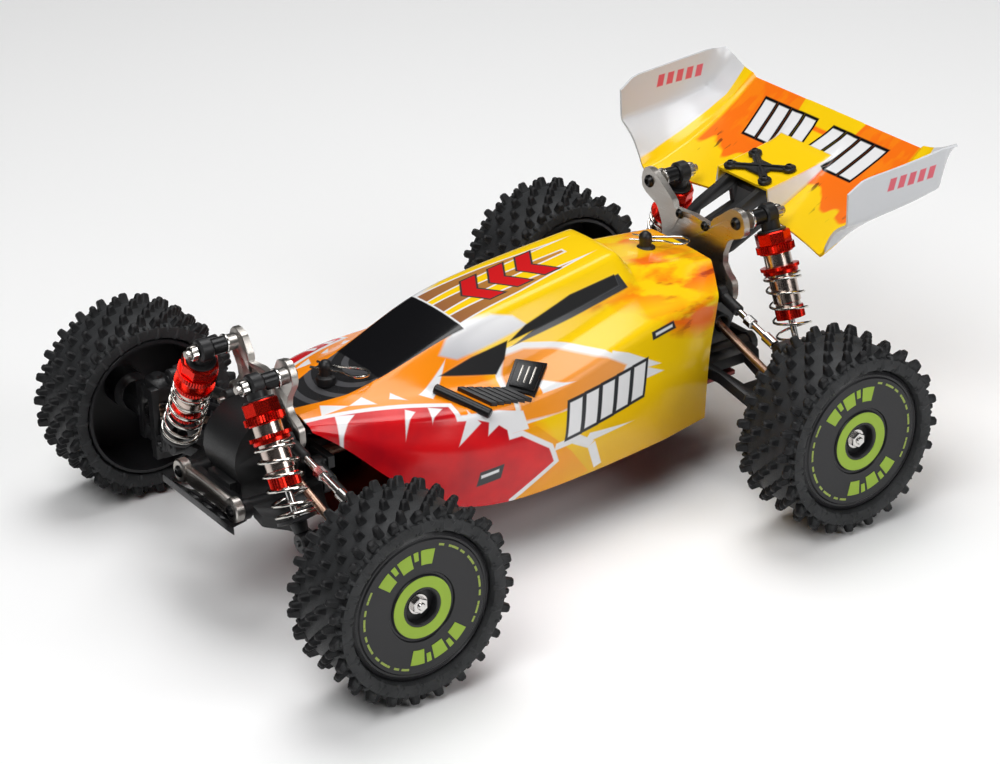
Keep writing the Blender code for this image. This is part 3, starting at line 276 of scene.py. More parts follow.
def shell_paint():
    """Yellow roof and tail, orange shoulders and red nose sides, with white lightning outlines."""
    f = Finish("shell_paint", 0.2, specular=PAINT_SPECULAR)
    clouds = f.noise(26)
    # The yellow is painted deeper towards the sill: painted shade on the lower sides.
    f.base = f.mix(f.ramp(f.z, 28, 62), DEEP_YELLOW, YELLOW)
    sides = f.beyond(f.side, 17)

    def side(*corners):
        return f.convex("side", list(corners))

    def top(*corners):
        return f.convex("top", list(corners))

    # Orange over the windscreen pillars and down to the sill, fading into the yellow.
    front = side((-120, 20), (4, 20), (0, 60), (-22, 92), (-30, 110), (-120, 110))
    sill = side((-30, 20), (22, 30), (8, 44), (-4, 60), (-30, 60))
    f.paint(ORANGE, front, 5)
    f.paint(f.mix(clouds, ORANGE, DEEP_YELLOW), sill)

    # The side panel with its white outline, which ends in two long points.
    panel = side(
        (-14, 60), (4, 62), (32, 60), (42, 71), (30, 78.5), (14, 81.5), (4, 84), (-8, 83), (-14, 74)
    )
    points = f.any_of(
        side((34, 77), (46, 67), (72, 64.6), (44, 75.5), (38, 79)),
        side((42, 70), (46, 62), (65, 60.6), (52, 67)),
    )
    f.paint(WHITE, f.all_of(f.any_of(f.grown(panel, 2.3), points), f.beyond(f.z, 62)))
    f.paint(f.mix(f.ramp(f.y, -5, 40), (0.9, 0.3, 0.02), (0.88, 0.36, 0.1)), panel, 0.6)
    foot = f.any_of(
        side((-1, 47), (10, 47.5), (12, 50.5), (0, 50)),
        side((8, 47.5), (17, 42), (20.5, 44.5), (12, 50.5)),
        side((17, 42.5), (22, 30), (26, 31), (21, 44)),
        side((14, 45), (42, 45.5), (18, 49)),
        side((-2, 71.5), (14, 72), (-1, 75)),
    )
    f.paint(WHITE, foot)

    # The red sides of the nose behind a jagged white edge.
    nose_side = f.all_of(top((17.5, -101), (62, -101), (62, -43), (41.5, -43)), f.beyond(f.z, 20))
    red = f.any_of(
        nose_side,
        side((-60, 20), (-22, 20), (-22, 62), (-26, 65.5), (-34, 69), (-60, 73)),
        side((-23, 29), (-1, 42), (-7, 58), (-16, 58), (-23, 63)),
    )
    white_edge = f.any_of(
        f.grown(red, 2.2),
        side((-36, 67), (-30, 63), (-20, 60), (-12, 60), (-13, 67.5), (-24, 70.5), (-38, 72)),
    )
    f.paint(WHITE, f.all_of(white_edge, sides))
    spikes_up = f.any_of(
        top((30.5, -50), (35, -46), (24.5, -33)),
        top((27, -62), (31, -56), (24.5, -60)),
        top((21.5, -78), (27, -68), (20, -71)),
        top((13.5, -87), (20, -90), (21.5, -78)),
    )
    f.paint(WHITE, spikes_up)
    f.paint(f.mix(f.ramp(f.noise(18), 0.35, 0.75), RED, (0.45, 0.005, 0.012)), red)
    spikes_down = f.any_of(
        side((-44.5, 61), (-33, 67.5), (-37, 73)),
        side((-31, 62), (-25, 65), (-28, 71)),
        top((43.5, -65), (38.5, -57), (35.5, -60)),
        top((45, -53), (41.5, -46), (38.5, -51)),
        top((34, -90), (27.5, -79), (23.5, -86)),
    )
    f.paint(WHITE, f.all_of(spikes_down, sides))

    # Airbrushed flames on the tail.
    streaks = f.ramp(f.noise(11, (0.8, 2.2, 0.8), 4), 0.38, 0.5)
    flame = f.any_of(
        side((36, 90), (72, 87), (96, 84), (112, 86), (112, 93), (80, 94.5), (58, 94)),
        side((62, 84), (70, 76), (88, 70), (98, 70), (102, 85)),
        f.all_of(top((9, 70), (30, 70), (30, 112), (3, 112)), f.beyond(f.z, 93)),
    )
    flames = f.times(f.ramp(flame, -3, 4), streaks)
    f.tint(FLAME, flames)
    hot = f.ramp(f.noise(6, (1, 4, 1), 5), 0.56, 0.62)
    scorch = f.times(f.times(flames, hot), 0.75)
    f.tint((0.3, 0.012, 0.008), scorch)

    # The roof: tapering brown stripes edged in white, with three red chevrons.
    on_roof = f.beyond(f.z, 88)
    band = top((9, -20), (16.5, -20), (14.5, 12), (10.5, 42))
    stripe = top((-1, -20), (4, -20), (1, 44), (-1, 44))
    both = f.any_of(band, stripe)
    behind_screen = top((-1, -20), (30, -20), (30, 55), (-1, 55))
    f.paint(WHITE, f.all_of(f.grown(both, 0.9), on_roof, behind_screen))
    browns = f.mix(f.ramp(f.y, -20, 30), BROWN, (0.55, 0.24, 0.03))
    f.paint(browns, f.all_of(both, on_roof))
    for start in (-8, 6, 20):
        chevron = top((-1, start), (11, start + 7), (11, start + 14), (-1, start + 7))
        f.outlined((0.6, 0.01, 0.012), SLATE, chevron, 0.9, on_roof)

    # The white pod with painted shade on its lower part, the black side window, and the intake beside the
    # roof, whose open slot is painted near-black as shade.
    beside = f.all_of(sides, f.short_of(f.side, 36))
    pod = side(
        (-34.5, 88), (-28, 85.6), (-15, 87.6), (7, 91.5), (2, 96), (-7, 98.2), (-20, 97.2), (-29, 93)
    )
    # The pod is white, painted grey towards its bottom: painted shade on its lower part.
    pod_painted_shade = f.mix(f.ramp(f.z, 86, 97), (0.5, 0.5, 0.53), WHITE)
    f.paint(pod_painted_shade, f.all_of(pod, beside), 0.5)
    # The intake's open slot is painted near-black, as painted shade inside the opening, and has a dark
    # grey edge around it.
    slot = side((-4, 87.3), (34, 92.6), (55, 95.8), (55, 99.8), (31, 97.6), (6, 91.6))
    slot_edge = side((-3, 85.6), (28, 89.6), (59, 94.2), (57, 99.6), (34, 97))
    f.paint(SLATE, f.all_of(slot_edge, beside))
    window = side((-38, 81.6), (-14, 77.6), (-8, 82), (-4, 88), (-22, 85.4))
    window_and_slot_shade = f.all_of(f.any_of(window, slot), beside)
    f.paint(SOOT, window_and_slot_shade)

    # Plain slanted bars in a dark outline on the side panel, and two small dark tags.
    bars = []
    for n in range(5):
        y, z = 6 + 9 * n, 51 + n
        bars.append(side((y, z), (y + 6.6, z + 0.6), (y + 10.6, z + 14), (y + 4, z + 13.4)))
    f.outlined(WHITE, SLATE, f.any_of(*bars), 1.4, f.beyond(f.side, 40))
    tags = f.any_of(
        side((-38, 40.5), (-27, 42), (-25.5, 48.6), (-36.5, 47.4)),
        side((58, 76.5), (72, 77.5), (71, 81), (58, 80)),
    )
    lines = f.any_of(
        side((-36, 44.2), (-28, 45.4), (-28, 46.8), (-36, 45.7)),
        side((60, 77.8), (70, 78.6), (70, 79.8), (60, 79)),
    )
    f.paint(SLATE, f.all_of(tags, f.beyond(f.side, 24)))
    f.paint(WHITE, f.all_of(lines, f.beyond(f.side, 24)))

    # The tinted windscreen, and the dark nose panel, whose curved grooves are painted as alternating
    # darker and lighter bands: painted shade and light.
    screen = top((-1, -60.5), (16.3, -60.5), (20.2, -20.5), (-1, -20.5))
    f.paint(WHITE, f.all_of(f.grown(screen, 0.8), f.beyond(f.y, -26)))
    f.paint(SOOT, screen)
    nose = top((-1, -101), (5, -101), (9, -90), (14.5, -76), (16, -60), (-1, -60))
    # Painted shade and light: the grooves in the dark grey nose panel are drawn as alternating darker and
    # lighter bands.
    groove_shading = f.math("SINE", f.times(f.length(f.x, f.beyond(f.y, -55)), 0.8))
    groove_light_and_shade = f.mix(f.ramp(groove_shading, 0.2, 0.5), (0.018, 0.018, 0.019), (0.075, 0.075, 0.08))
    f.paint(groove_light_and_shade, nose)
    f.colour(f.base)
    f.link(f.ramp(window_and_slot_shade, -0.5, 0.5, 0.2, 0.75), f.shader.inputs["Roughness"])
    f.bump(f.noise(30, (1, 1, 1), 1), 0.12, 0.4)
    return f.material


def wing_paint():
    """Yellow front and flanks, an orange tail with dark airbrushed strokes, and pale end plates."""
    f = Finish("wing_paint", 0.2, specular=PAINT_SPECULAR)
    wave = f.times(f.grown(f.noise(20, (1, 2, 1), 2), -0.5), 46)
    orange = f.math("ADD", f.beyond(f.y, 158), wave)
    f.base = YELLOW
    f.paint(FLAME, f.all_of(orange, f.short_of(f.side, 57)), 1.2)
    strokes = f.ramp(f.noise(5, (0.8, 5, 2), 4), 0.6, 0.64)
    near_edge = f.ramp(f.math("ABSOLUTE", orange), 9, 2)
    f.tint((0.09, 0.02, 0.008), f.times(f.times(strokes, near_edge), 0.8))
    glow = f.ramp(f.noise(9, (0.7, 4, 1), 2), 0.5, 0.58)
    f.tint(ORANGE, f.times(f.times(glow, f.ramp(f.y, 168, 176)), 0.5))

    def top(*corners):
        return f.convex("top", list(corners))

    middle = f.any_of(
        top((-1, 186), (19, 186), (22, 200), (-1, 200)),
        top((-1, 120), (17.6, 120), (17.6, 184), (-1, 184)),
    )
    f.paint(YELLOW, middle, 0.4)
    f.paint(WHITE, top((17.6, 120), (20.4, 120), (19.4, 178), (17.6, 178)), 0.3)
    bars = [top((x, 172), (x + 7, 172), (x + 11.5, 188), (x + 4.5, 188)) for x in (1.5, 11, 20.5, 30)]
    beside_platform = f.any_of(f.beyond(f.side, 18.4), f.beyond(f.y, 177.5))
    f.outlined(WHITE, SOOT, f.any_of(*bars), 1.3, beside_platform)

    # The end plates, pale above a line that climbs to the rear, with five slanted red dashes.
    flank = f.beyond(f.side, 60)
    f.paint(YELLOW, flank, 0.3)
    tall = f.half_plane("side", (120, 100), (196, 150))
    pale = f.all_of(flank, f.any_of(f.beyond(f.side, 65.5), tall))
    f.paint((0.66, 0.67, 0.69), pale, 0.3)
    dashes = []
    for y in (154.5, 160, 165.5, 171, 176.5):
        dashes.append(f.convex("side", [(y, 131), (y + 3.6, 131), (y + 5.2, 136.5), (y + 1.6, 136.5)]))
    f.paint((0.75, 0.12, 0.16), f.all_of(f.any_of(*dashes), f.beyond(f.side, 68)))
    f.colour(f.base)
    f.bump(f.noise(30, (1, 1, 1), 1), 0.1, 0.3)
    return f.material


def rubber():
    """Black rubber, darkest on the upper halves of the studs, with a lighter, mottled carcass between and
    below them.
    """
    f = Finish("tyre_rubber", 0.62, specular=0.35)
    along = f.beyond(f.math("ABSOLUTE", f.y), raw_centre("rear_left_tyre").y - MIDDLE.y)
    reach = f.length(along, f.beyond(f.z, TYRE_RADIUS))
    carcass = f.mix(f.ramp(f.noise(9.0), 0.3, 0.8), (0.016, 0.017, 0.018), (0.034, 0.035, 0.037))
    f.colour(f.mix(f.ramp(reach, TYRE_RADIUS - 4.4, TYRE_RADIUS - 2.4), carcass, (0.006, 0.006, 0.007)))
    fine = f.noise(0.5)
    f.link(f.ramp(fine, 0.3, 0.7, 0.5, 0.72), f.shader.inputs["Roughness"])
    f.bump(fine, 0.3, 0.06)
    return f.material


def brushed_plate():
    """Plate brushed along x, with a faint warm stain."""
    f = Finish("brushed_plate", 0.33, 1.0)
    lines = f.noise(0.35, (26, 1, 1), 2.0)
    warm = f.noise(24.0)
    f.colour(f.mix(warm, (0.36, 0.33, 0.3), (0.55, 0.53, 0.5)))
    f.link(f.ramp(lines, 0.3, 0.7, 0.26, 0.44), f.shader.inputs["Roughness"])
    f.bump(lines, 0.12, 0.04)
    return f.material


FINISHES = {
    "rubber": rubber(),
    "wheel": plain("wheel_nylon", (0.014, 0.014, 0.016), 0.38, grain=0.8),
    "nylon": plain("black_nylon", (0.012, 0.012, 0.013), 0.42, grain=0.7, rough_bump=0.25),
    "lime": plain("lime_print", (0.33, 0.5, 0.04), 0.45, grain=1.0, shade=0.12),
    "grey_print": plain("grey_print", (0.33, 0.42, 0.08), 0.5, grain=1.0, shade=0.1),
    "red": plain("red_anodised", (0.78, 0.022, 0.012), 0.27, 1.0, grain=0.5, rough_bump=0.1, shade=0.2),
    "champagne": plain(
        "champagne_cylinder", (0.66, 0.55, 0.49), 0.2, 1.0, grain=0.4, rough_bump=0.06, shade=0.12
    ),
    "steel": plain("bright_steel", (0.72, 0.7, 0.68), 0.2, 1.0, grain=0.4, rough_bump=0.08, shade=0.2),
    "spring": plain("spring_steel", (0.8, 0.77, 0.72), 0.17, 1.0, grain=0.5, rough_bump=0.05, shade=0.15),
    "bronze": plain("bronze_shaft", (0.45, 0.3, 0.22), 0.3, 1.0, grain=0.5, shade=0.25),
    "plate": brushed_plate(),
    # The chassis plate is given a dark red metal colour.
    "chassis": plain("chassis_dark_red_metal", (0.22, 0.045, 0.04), 0.4, 1.0, grain=0.4, stretch=(1, 20, 1)),
    "screw": plain("black_screws", (0.02, 0.02, 0.021), 0.3, 0.6, grain=0.5),
    "motor": plain("motor_can", (0.5, 0.5, 0.52), 0.35, 1.0, grain=0.4),
    "battery": plain("battery_wrap", (0.03, 0.08, 0.3), 0.4, grain=3.0),
    "shell": shell_paint(),
    "wing": wing_paint(),
}


# ---------------- mesh helpers
FULL_TURN = 2 * math.pi


def placed(name, data):
    """A new object in the scene, at the origin."""
    made = bpy.data.objects.new(name, data)
    bpy.context.scene.collection.objects.link(made)
    return made


def verts_of(geometry):
    return [item for item in geometry if isinstance(item, bmesh.types.BMVert)]


def edges_of(geometry):
    return [item for item in geometry if isinstance(item, bmesh.types.BMEdge)]


def piece(name, bm, body, finish, replaces=(), angle=35):
    """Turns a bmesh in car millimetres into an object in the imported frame, on a body, with a finish."""
    bmesh.ops.translate(bm, vec=MIDDLE, verts=bm.verts)
    bmesh.ops.scale(bm, vec=(MM, MM, MM), verts=bm.verts)
    mesh = bpy.data.meshes.new(name)
    bm.to_mesh(mesh)
    bm.free()
    mesh.shade_smooth()
    mesh.set_sharp_from_angle(angle=math.radians(angle))
    mesh.materials.append(FINISHES[finish])
    made = placed(name, mesh)
    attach(made, body)
    if replaces:
        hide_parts(*replaces)
    return made


def turned(profile, steps=48, sweep=FULL_TURN, closed=True):
    """Spins a profile of (radius, height) points about z; a closed profile makes a ring."""
    bm = bmesh.new()
    verts = [bm.verts.new((r, 0, z)) for r, z in profile]
    edges = [bm.edges.new(pair) for pair in zip(verts, verts[1:])]
    if closed:
        edges.append(bm.edges.new((verts[-1], verts[0])))
    full = sweep == FULL_TURN
    made = bmesh.ops.spin(
        bm, geom=verts + edges, cent=(0, 0, 0), axis=(0, 0, 1), angle=sweep, steps=steps, use_merge=full
    )
    if not full:
        for loop in (edges, edges_of(made["geom_last"])):
            bmesh.ops.edgeloop_fill(bm, edges=loop)
    bmesh.ops.remove_doubles(bm, verts=bm.verts, dist=0.0005)
    bmesh.ops.recalc_face_normals(bm, faces=bm.faces)
    return bm


def moved(bm, matrix):
    bmesh.ops.transform(bm, matrix=matrix, verts=bm.verts)
    return bm


def rounded(bm, edges, width, segments, clamp=False):
    bmesh.ops.bevel(
        bm,
        geom=edges,
        offset=width,
        segments=segments,
        affect="EDGES",
        profile=0.5,
        material=-1,
        clamp_overlap=clamp,
    )


def join(target, source, matrix=None):
    """Adds a copy of the source bmesh to the target, moved by the matrix, and frees the source."""
    if matrix is not None:
        moved(source, matrix)
    mesh = bpy.data.meshes.new("part")
    source.to_mesh(mesh)
    source.free()
    target.from_mesh(mesh)
    bpy.data.meshes.remove(mesh)
    return target


def aimed(start, direction):
    """The matrix that carries z to the direction, with the origin at start."""
    turn_to = Vector((0, 0, 1)).rotation_difference(Vector(direction)).to_matrix().to_4x4()
    return Matrix.Translation(Vector(start)) @ turn_to


def block(low, high, bevel=0.0, segments=2):
    bm = bmesh.new()
    bmesh.ops.create_cube(bm, size=1.0)
    low, high = Vector(low), Vector(high)
    bmesh.ops.scale(bm, vec=high - low, verts=bm.verts)
    bmesh.ops.translate(bm, vec=(low + high) / 2, verts=bm.verts)
    if bevel:
        rounded(bm, bm.edges, bevel, segments)
    return bm


def cylinder(start, end, radius, sides=24, bevel=0.25):
    start, end = Vector(start), Vector(end)
    height = (end - start).length
    bevel = min(bevel, height / 3, radius / 3)
    low = [(0, 0), (radius - bevel, 0), (radius, bevel)]
    high = [(r, height - z) for r, z in reversed(low)]
    bm = turned(low + high, sides, closed=False)
    return moved(bm, aimed(start, end - start))


def hexagon(start, end, radius):
    return cylinder(start, end, radius, 6, 0.3)


def tube(points, radius, sides):
    """A round wire along a smooth line through the points."""
    curve = bpy.data.curves.new("wire", "CURVE")
    curve.dimensions = "3D"
    curve.bevel_depth = radius
    curve.bevel_resolution = sides // 4
    curve.use_fill_caps = True
    curve.resolution_u = 6
    spline = curve.splines.new("NURBS")
    spline.points.add(len(points) - 1)
    for spot, point in zip(spline.points, points):
        spot.co = (*point, 1.0)
    spline.use_endpoint_u = True
    spline.order_u = 3
    holder = placed("wire", curve)
    mesh = bpy.data.meshes.new_from_object(holder.evaluated_get(bpy.context.evaluated_depsgraph_get()))
    bpy.data.objects.remove(holder)
    bpy.data.curves.remove(curve)
    bm = bmesh.new()
    bm.from_mesh(mesh)
    bpy.data.meshes.remove(mesh)
    bmesh.ops.remove_doubles(bm, verts=bm.verts, dist=0.001)
    return bm


def screw(at, direction, radius=2.3, height=1.5):
    """A button-head screw with a hexagon socket."""
    socket = radius * 0.45
    head = [
        (0, height - 0.9),
        (socket, height - 0.9),
        (socket, height),
        (radius * 0.7, height * 0.93),
        (radius, height * 0.3),
        (radius, 0),
        (0, 0),
    ]
    return moved(turned(head, 24, closed=False), aimed(at, direction))


def knurled(radius, low, high, teeth=40, depth=0.35):
    """A ring with straight knurling."""
    bm = bmesh.new()
    points = []
    for step in range(2 * teeth):
        angle = math.pi * step / teeth
        reach = radius if step % 2 else radius - depth
        points.append((reach * math.cos(angle), reach * math.sin(angle), low))
    face = bm.faces.new([bm.verts.new(p) for p in points])
    raised = bmesh.ops.extrude_face_region(bm, geom=[face])["geom"]
    bmesh.ops.translate(bm, vec=(0, 0, high - low), verts=verts_of(raised))
    bmesh.ops.recalc_face_normals(bm, faces=bm.faces)
    return bm


# ---------------- wheels
CORNERS = [(end, side) for end in ("front", "rear") for side in ("left", "right")]
WHEEL_LOW, WHEEL_HIGH = node_box("front_left_wheel")
RIM_RADIUS = 31.0
FACE = WHEEL_HIGH.x - raw_centre("front_left_tyre").x
MARKS_AT = math.radians(20)
RIM_DASHES = 44
STUD_HEIGHT = 4.4
STUDS_AROUND = 23
ROW_PITCH = 5.9
SIDE_BLOCKS = [
    # share of a step, inset from the side, height over the tread, lean, width and depth, length, taper
    (0.5, 3.1, 0.7, 0.5, (4.2, 4.4), 5.6, 0.68),
    (0.5, 1.1, -3.2, 1.3, (6.4, 2.6), 1.9, 0.75),
    (1.0, 1.6, -1.6, 1.05, (4.6, 2.2), 2.6, 0.7),
    (0.75, 0.6, -5.0, 1.5, (2.4, 1.0), 0.8, 0.8),
]


def stud(size, height, taper, matrix):
    """A tapered knob with a rounded top, standing along z from its middle."""
    bm = bmesh.new()
    bmesh.ops.create_cube(bm, size=1.0)
    bmesh.ops.scale(bm, vec=(size[0], size[1], height), verts=bm.verts)
    for vert in bm.verts:
        if vert.co.z > 0:
            vert.co.x *= taper
            vert.co.y *= taper
    edges = [e for e in bm.edges if max(v.co.z for v in e.verts) > 0]
    rounded(bm, edges, 0.6, 1)
    return moved(bm, matrix)


def on_tyre(around, across, radius, lean=0.0):
    """The matrix of a stud at an angle around the tyre, across it along z, leaning outwards."""
    spin = Matrix.Rotation(around, 4, "Z")
    stand = Matrix.Translation((radius, 0, across)) @ Matrix.Rotation(math.pi / 2 - lean, 4, "Y")
    return spin @ stand


def tyre():
    """A spiked off-road tyre about z, outer side up."""
    tread = TYRE_RADIUS - STUD_HEIGHT
    bead = RIM_RADIUS + 0.4
    wall = [(bead, 3.0), (bead + 0.8, 0.9), (bead + 2.6, 0.2), (bead + 5.5, 0.6)]
    wall += [(tread - 1.6, 2.6), (tread, 6.0)]
    profile = [(r, inset - TYRE_HALF) for r, inset in wall] + [(tread + 0.4, 0.0)]
    profile += [(r, TYRE_HALF - inset) for r, inset in reversed(wall)]
    bm = turned(profile, 120)
    step = 2 * math.pi / STUDS_AROUND
    for number in range(STUDS_AROUND):
        for row in range(-2, 3):
            around = step * (number + 0.5 * (row % 2))
            size = (3.7, 4.1) if row % 2 else (4.1, 3.7)
            place = on_tyre(around, row * ROW_PITCH, tread + STUD_HEIGHT / 2 - 0.5, 0.05 * row)
            join(bm, stud(size, STUD_HEIGHT + 0.6, 0.62, place))
        for sign in (-1, 1):
            for share, inset, rise, lean, size, length, taper in SIDE_BLOCKS:
                across = sign * (TYRE_HALF - inset)
                place = on_tyre(step * (number + share), across, tread + rise, sign * lean)
                join(bm, stud(size, length, taper, place))
    return bm


def wheel():
    """A disc wheel about z, face up, with a recess for the nut and a deep open back."""
    back = WHEEL_LOW.x - raw_centre("front_left_tyre").x
    inner = RIM_RADIUS - 1.6
    profile = [
        (7.0, FACE - 4.1), (7.0, FACE - 0.7), (7.5, FACE - 0.2), (13.2, FACE - 0.2), (13.6, FACE - 0.9),
        (14.4, FACE - 0.9), (14.8, FACE - 0.2), (RIM_RADIUS - 3.0, FACE), (RIM_RADIUS - 2.4, FACE - 0.6),
        (RIM_RADIUS - 1.6, FACE - 0.6), (RIM_RADIUS - 1.2, FACE - 0.1), (RIM_RADIUS, FACE - 0.8),
        (RIM_RADIUS, back + 0.4), (RIM_RADIUS - 0.4, back), (inner, back), (inner, FACE - 2.4),
        (8.6, FACE - 2.4), (8.6, 4.0), (2.5, 4.0), (2.5, FACE - 4.1),
    ]
    return turned(profile, 96)


def sector(inner, outer, low, high, start, sweep):
    """A thin piece of ring about z."""
    steps = max(2, int(abs(sweep) * outer / 1.5))
    bm = turned([(outer, low), (outer, high), (inner, high), (inner, low)], steps, sweep)
    bmesh.ops.rotate(bm, cent=(0, 0, 0), matrix=Matrix.Rotation(start, 3, "Z"), verts=bm.verts)
    return bm


def wheel_marks():
    """The lime ring and the plain arc blocks printed on the disc."""
    ring = [(12.9, -0.3), (12.9, 0.02), (8.6, 0.02), (7.3, -1.2), (7.3, -1.6)]
    bm = turned([(r, FACE + rise) for r, rise in ring], 72)
    for middle in (MARKS_AT, MARKS_AT + math.pi):
        for start, sweep in ((-36, 15), (-18, 5), (-10, 15), (8, 5), (16, 15)):
            inner = 18.2 if sweep > 10 else 20.6
            start, sweep = middle + math.radians(start), math.radians(sweep)
            join(bm, sector(inner, 24.4, FACE - 0.2, FACE + 0.06, start, sweep))
    return bm


def rim_dashes():
    """A fine dashed line near the disc's edge."""
    bm = bmesh.new()
    for number in range(RIM_DASHES):
        angle = 2 * math.pi * number / RIM_DASHES
        if abs(math.cos(angle - MARKS_AT)) < 0.8:
            sweep = math.radians(3.0 + 2.4 * (number % 3))
            join(bm, sector(25.6, 26.5, FACE - 0.1, FACE + 0.04, angle, sweep))
    return bm


def axle():
    """The axle with its cup, hexagon and flanged nut."""
    stub = [(0, FACE - 0.2), (1.2, FACE - 0.2), (1.6, FACE - 0.7), (1.6, FACE - 3.8), (2.0, FACE - 3.8)]
    hexagon_seat = [(2.0, 3.6), (5.8, 3.6), (5.8, 0.8), (2.0, 0.8)]
    cup = [(2.0, -16.4), (4.9, -17.0), (4.9, -24.2), (3.9, -24.2), (3.9, -18.0), (0, -18.0)]
    profile = stub + hexagon_seat + cup
    bm = turned(profile, 32, closed=False)
    join(bm, hexagon((0, 0, FACE - 3.6), (0, 0, FACE - 1.1), 3.4))
    join(bm, cylinder((0, 0, FACE - 3.8), (0, 0, FACE - 3.2), 4.2, 32, 0.1))
    return bm


def build_wheels():
    for end, side in CORNERS:
        corner = f"{end}_{side}"
        sign = 1 if side == "left" else -1
        place = aimed(centre(f"{corner}_tyre"), (sign, 0, 0))
        body = f"{corner}_wheel"
        parts = [
            ("tyre_tread", tyre(), "rubber", [f"{corner}_tyre"]),
            ("disc_wheel", wheel(), "wheel", [f"{corner}_wheel"]),
            ("wheel_ring_print", wheel_marks(), "lime", []),
            ("wheel_dash_print", rim_dashes(), "grey_print", []),
            ("axle_and_nut", axle(), "steel", [f"{corner}_wheel_axle"]),
        ]
        for name, bm, finish, replaced in parts:
            piece(f"{corner}_{name}", moved(bm, place), body, finish, replaced)


# ---------------- shocks
SHOCK = {
    "front": {"cap": 6.4, "cap_foot": 12.4, "ring_foot": 15.2, "collar": 20.4, "body": 42.2, "seat": 54.6},
    "rear": {"cap": 7.6, "cap_foot": 13.4, "ring_foot": 16.4, "collar": 22.8, "body": 46.4, "seat": 61.2},
}
LOWER_EYE = 4.2
COLLAR_DEPTH = 3.4
COIL_RADIUS, COIL_WIRE, COIL_TURNS = 7.9, 1.25, 6.5
COIL_STEPS = 28


def spring(top, low, radius, wire, turns):
    """An open coil about z with a closed turn at each end, from top down to low."""
    bm = bmesh.new()
    made = bmesh.ops.create_circle(bm, cap_ends=False, segments=10, radius=wire / 2)
    bmesh.ops.rotate(bm, cent=(0, 0, 0), matrix=Matrix.Rotation(math.pi / 2, 3, "X"), verts=bm.verts)
    bmesh.ops.translate(bm, vec=(radius, 0, top), verts=bm.verts)
    start = list(bm.edges)
    geom = made["verts"] + start
    runs = [(1.0, wire * 1.05), (turns - 2.0, (top - low) - 2.1 * wire), (1.0, wire * 1.05)]
    for count, drop in runs:
        total = int(count * COIL_STEPS)
        step, sweep = (0, 0, -drop / total), FULL_TURN * count
        geom = bmesh.ops.spin(
            bm, geom=geom, cent=(0, 0, 0), axis=(0, 0, 1), dvec=step, angle=sweep, steps=total
        )["geom_last"]
    for loop in (start, edges_of(geom)):
        bmesh.ops.edgeloop_fill(bm, edges=loop)
    bmesh.ops.recalc_face_normals(bm, faces=bm.faces)
    return bm


def shock_metal(size):
    """The red cap, its knurled ring, the spring collar and the lower cap."""
    cap, foot, ring = -size["cap"], -size["cap_foot"], -size["ring_foot"]
    bm = cylinder((0, 0, foot), (0, 0, cap), 7.9, 8, 0.5)
    join(bm, knurled(8.5, ring, foot, 44))
    join(bm, cylinder((0, 0, ring - 0.8), (0, 0, ring), 7.3, 48, 0.2))
    collar = -size["collar"]
    join(bm, knurled(8.6, collar - 1.5, collar, 44))
    join(bm, cylinder((0, 0, collar - COLLAR_DEPTH), (0, 0, collar - 1.5), 7.7, 48, 0.3))
    join(bm, knurled(6.4, -size["body"], 5.2 - size["body"], 30))
    return bm


def shock_cylinder(size):
    top, collar, foot = 1.0 - size["ring_foot"], -size["collar"], -size["body"]
    outside = [(6.0, top), (6.1, collar), (6.1, foot + 7.4), (5.6, foot + 7.0), (5.6, foot + 5.0)]
    return turned([*outside, (4.0, foot + 5.0), (4.0, top)], 48)


def shock_eye(size):
    """The black upper eyelet moulded with its neck."""
    bm = cylinder((0, -3.0, 0), (0, 3.0, 0), 4.9, 36, 0.8)
    join(bm, cylinder((0, 0, -size["cap"] - 0.5), (0, 0, -2.5), 4.2, 32, 0.3))
    join(bm, cylinder((0, 0, -size["cap"] - 0.5), (0, 0, 0.8 - size["cap"]), 6.4, 40, 0.3))
    return bm


def build_shocks():
    for end, side in CORNERS:
        corner = f"{end}_{side}"
        size = SHOCK[end]
        top = pivot(f"{corner}_shock_swing")
        up = Vector(JOINTS[f"{corner}_shock_stroke"]["axis"]).normalized()
        foot = node_box(f"{corner}_shock_rod")[0].z
        length = (top.z - foot - LOWER_EYE) / up.z
        place = aimed(top, up)
        body, low_body = f"{corner}_shock_body", f"{corner}_shock_rod"
        rod = cylinder((0, 0, -length + 5.0), (0, 0, 6.5 - size["body"]), 1.5, 20, 0.1)
        seat = -size["seat"]
        saucer = [(8.3, seat - 0.3), (8.3, seat - 1.6), (3.6, seat - 2.4)]
        stem = [(3.0, 4.0 - length), (0, 4.0 - length), (0, seat - 0.3)]
        lower = turned(saucer + stem, 40, closed=False)
        join(lower, cylinder((0, -2.8, -length), (0, 2.8, -length), LOWER_EYE, 30, 0.5))
        coil_top, coil_low = -size["collar"] - COLLAR_DEPTH - 0.8, seat + 0.6
        coil = spring(coil_top, coil_low, COIL_RADIUS, COIL_WIRE, COIL_TURNS)
        for name, bm, owner, finish, replaced in (
            ("shock_red_parts", shock_metal(size), body, "red", [f"{corner}_shock_body"]),
            ("shock_cylinder", shock_cylinder(size), body, "champagne", []),
            ("shock_upper_eye", shock_eye(size), body, "nylon", []),
            ("shock_piston_rod", rod, low_body, "steel", [f"{corner}_shock_rod"]),
            ("shock_lower_seat", lower, low_body, "nylon", []),
            ("shock_coil", coil, body, "spring", [f"{corner}_spring"]),
        ):
            made = piece(f"{corner}_{name}", moved(bm, place), owner, finish, replaced)
            if name == "shock_coil":
                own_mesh(made)


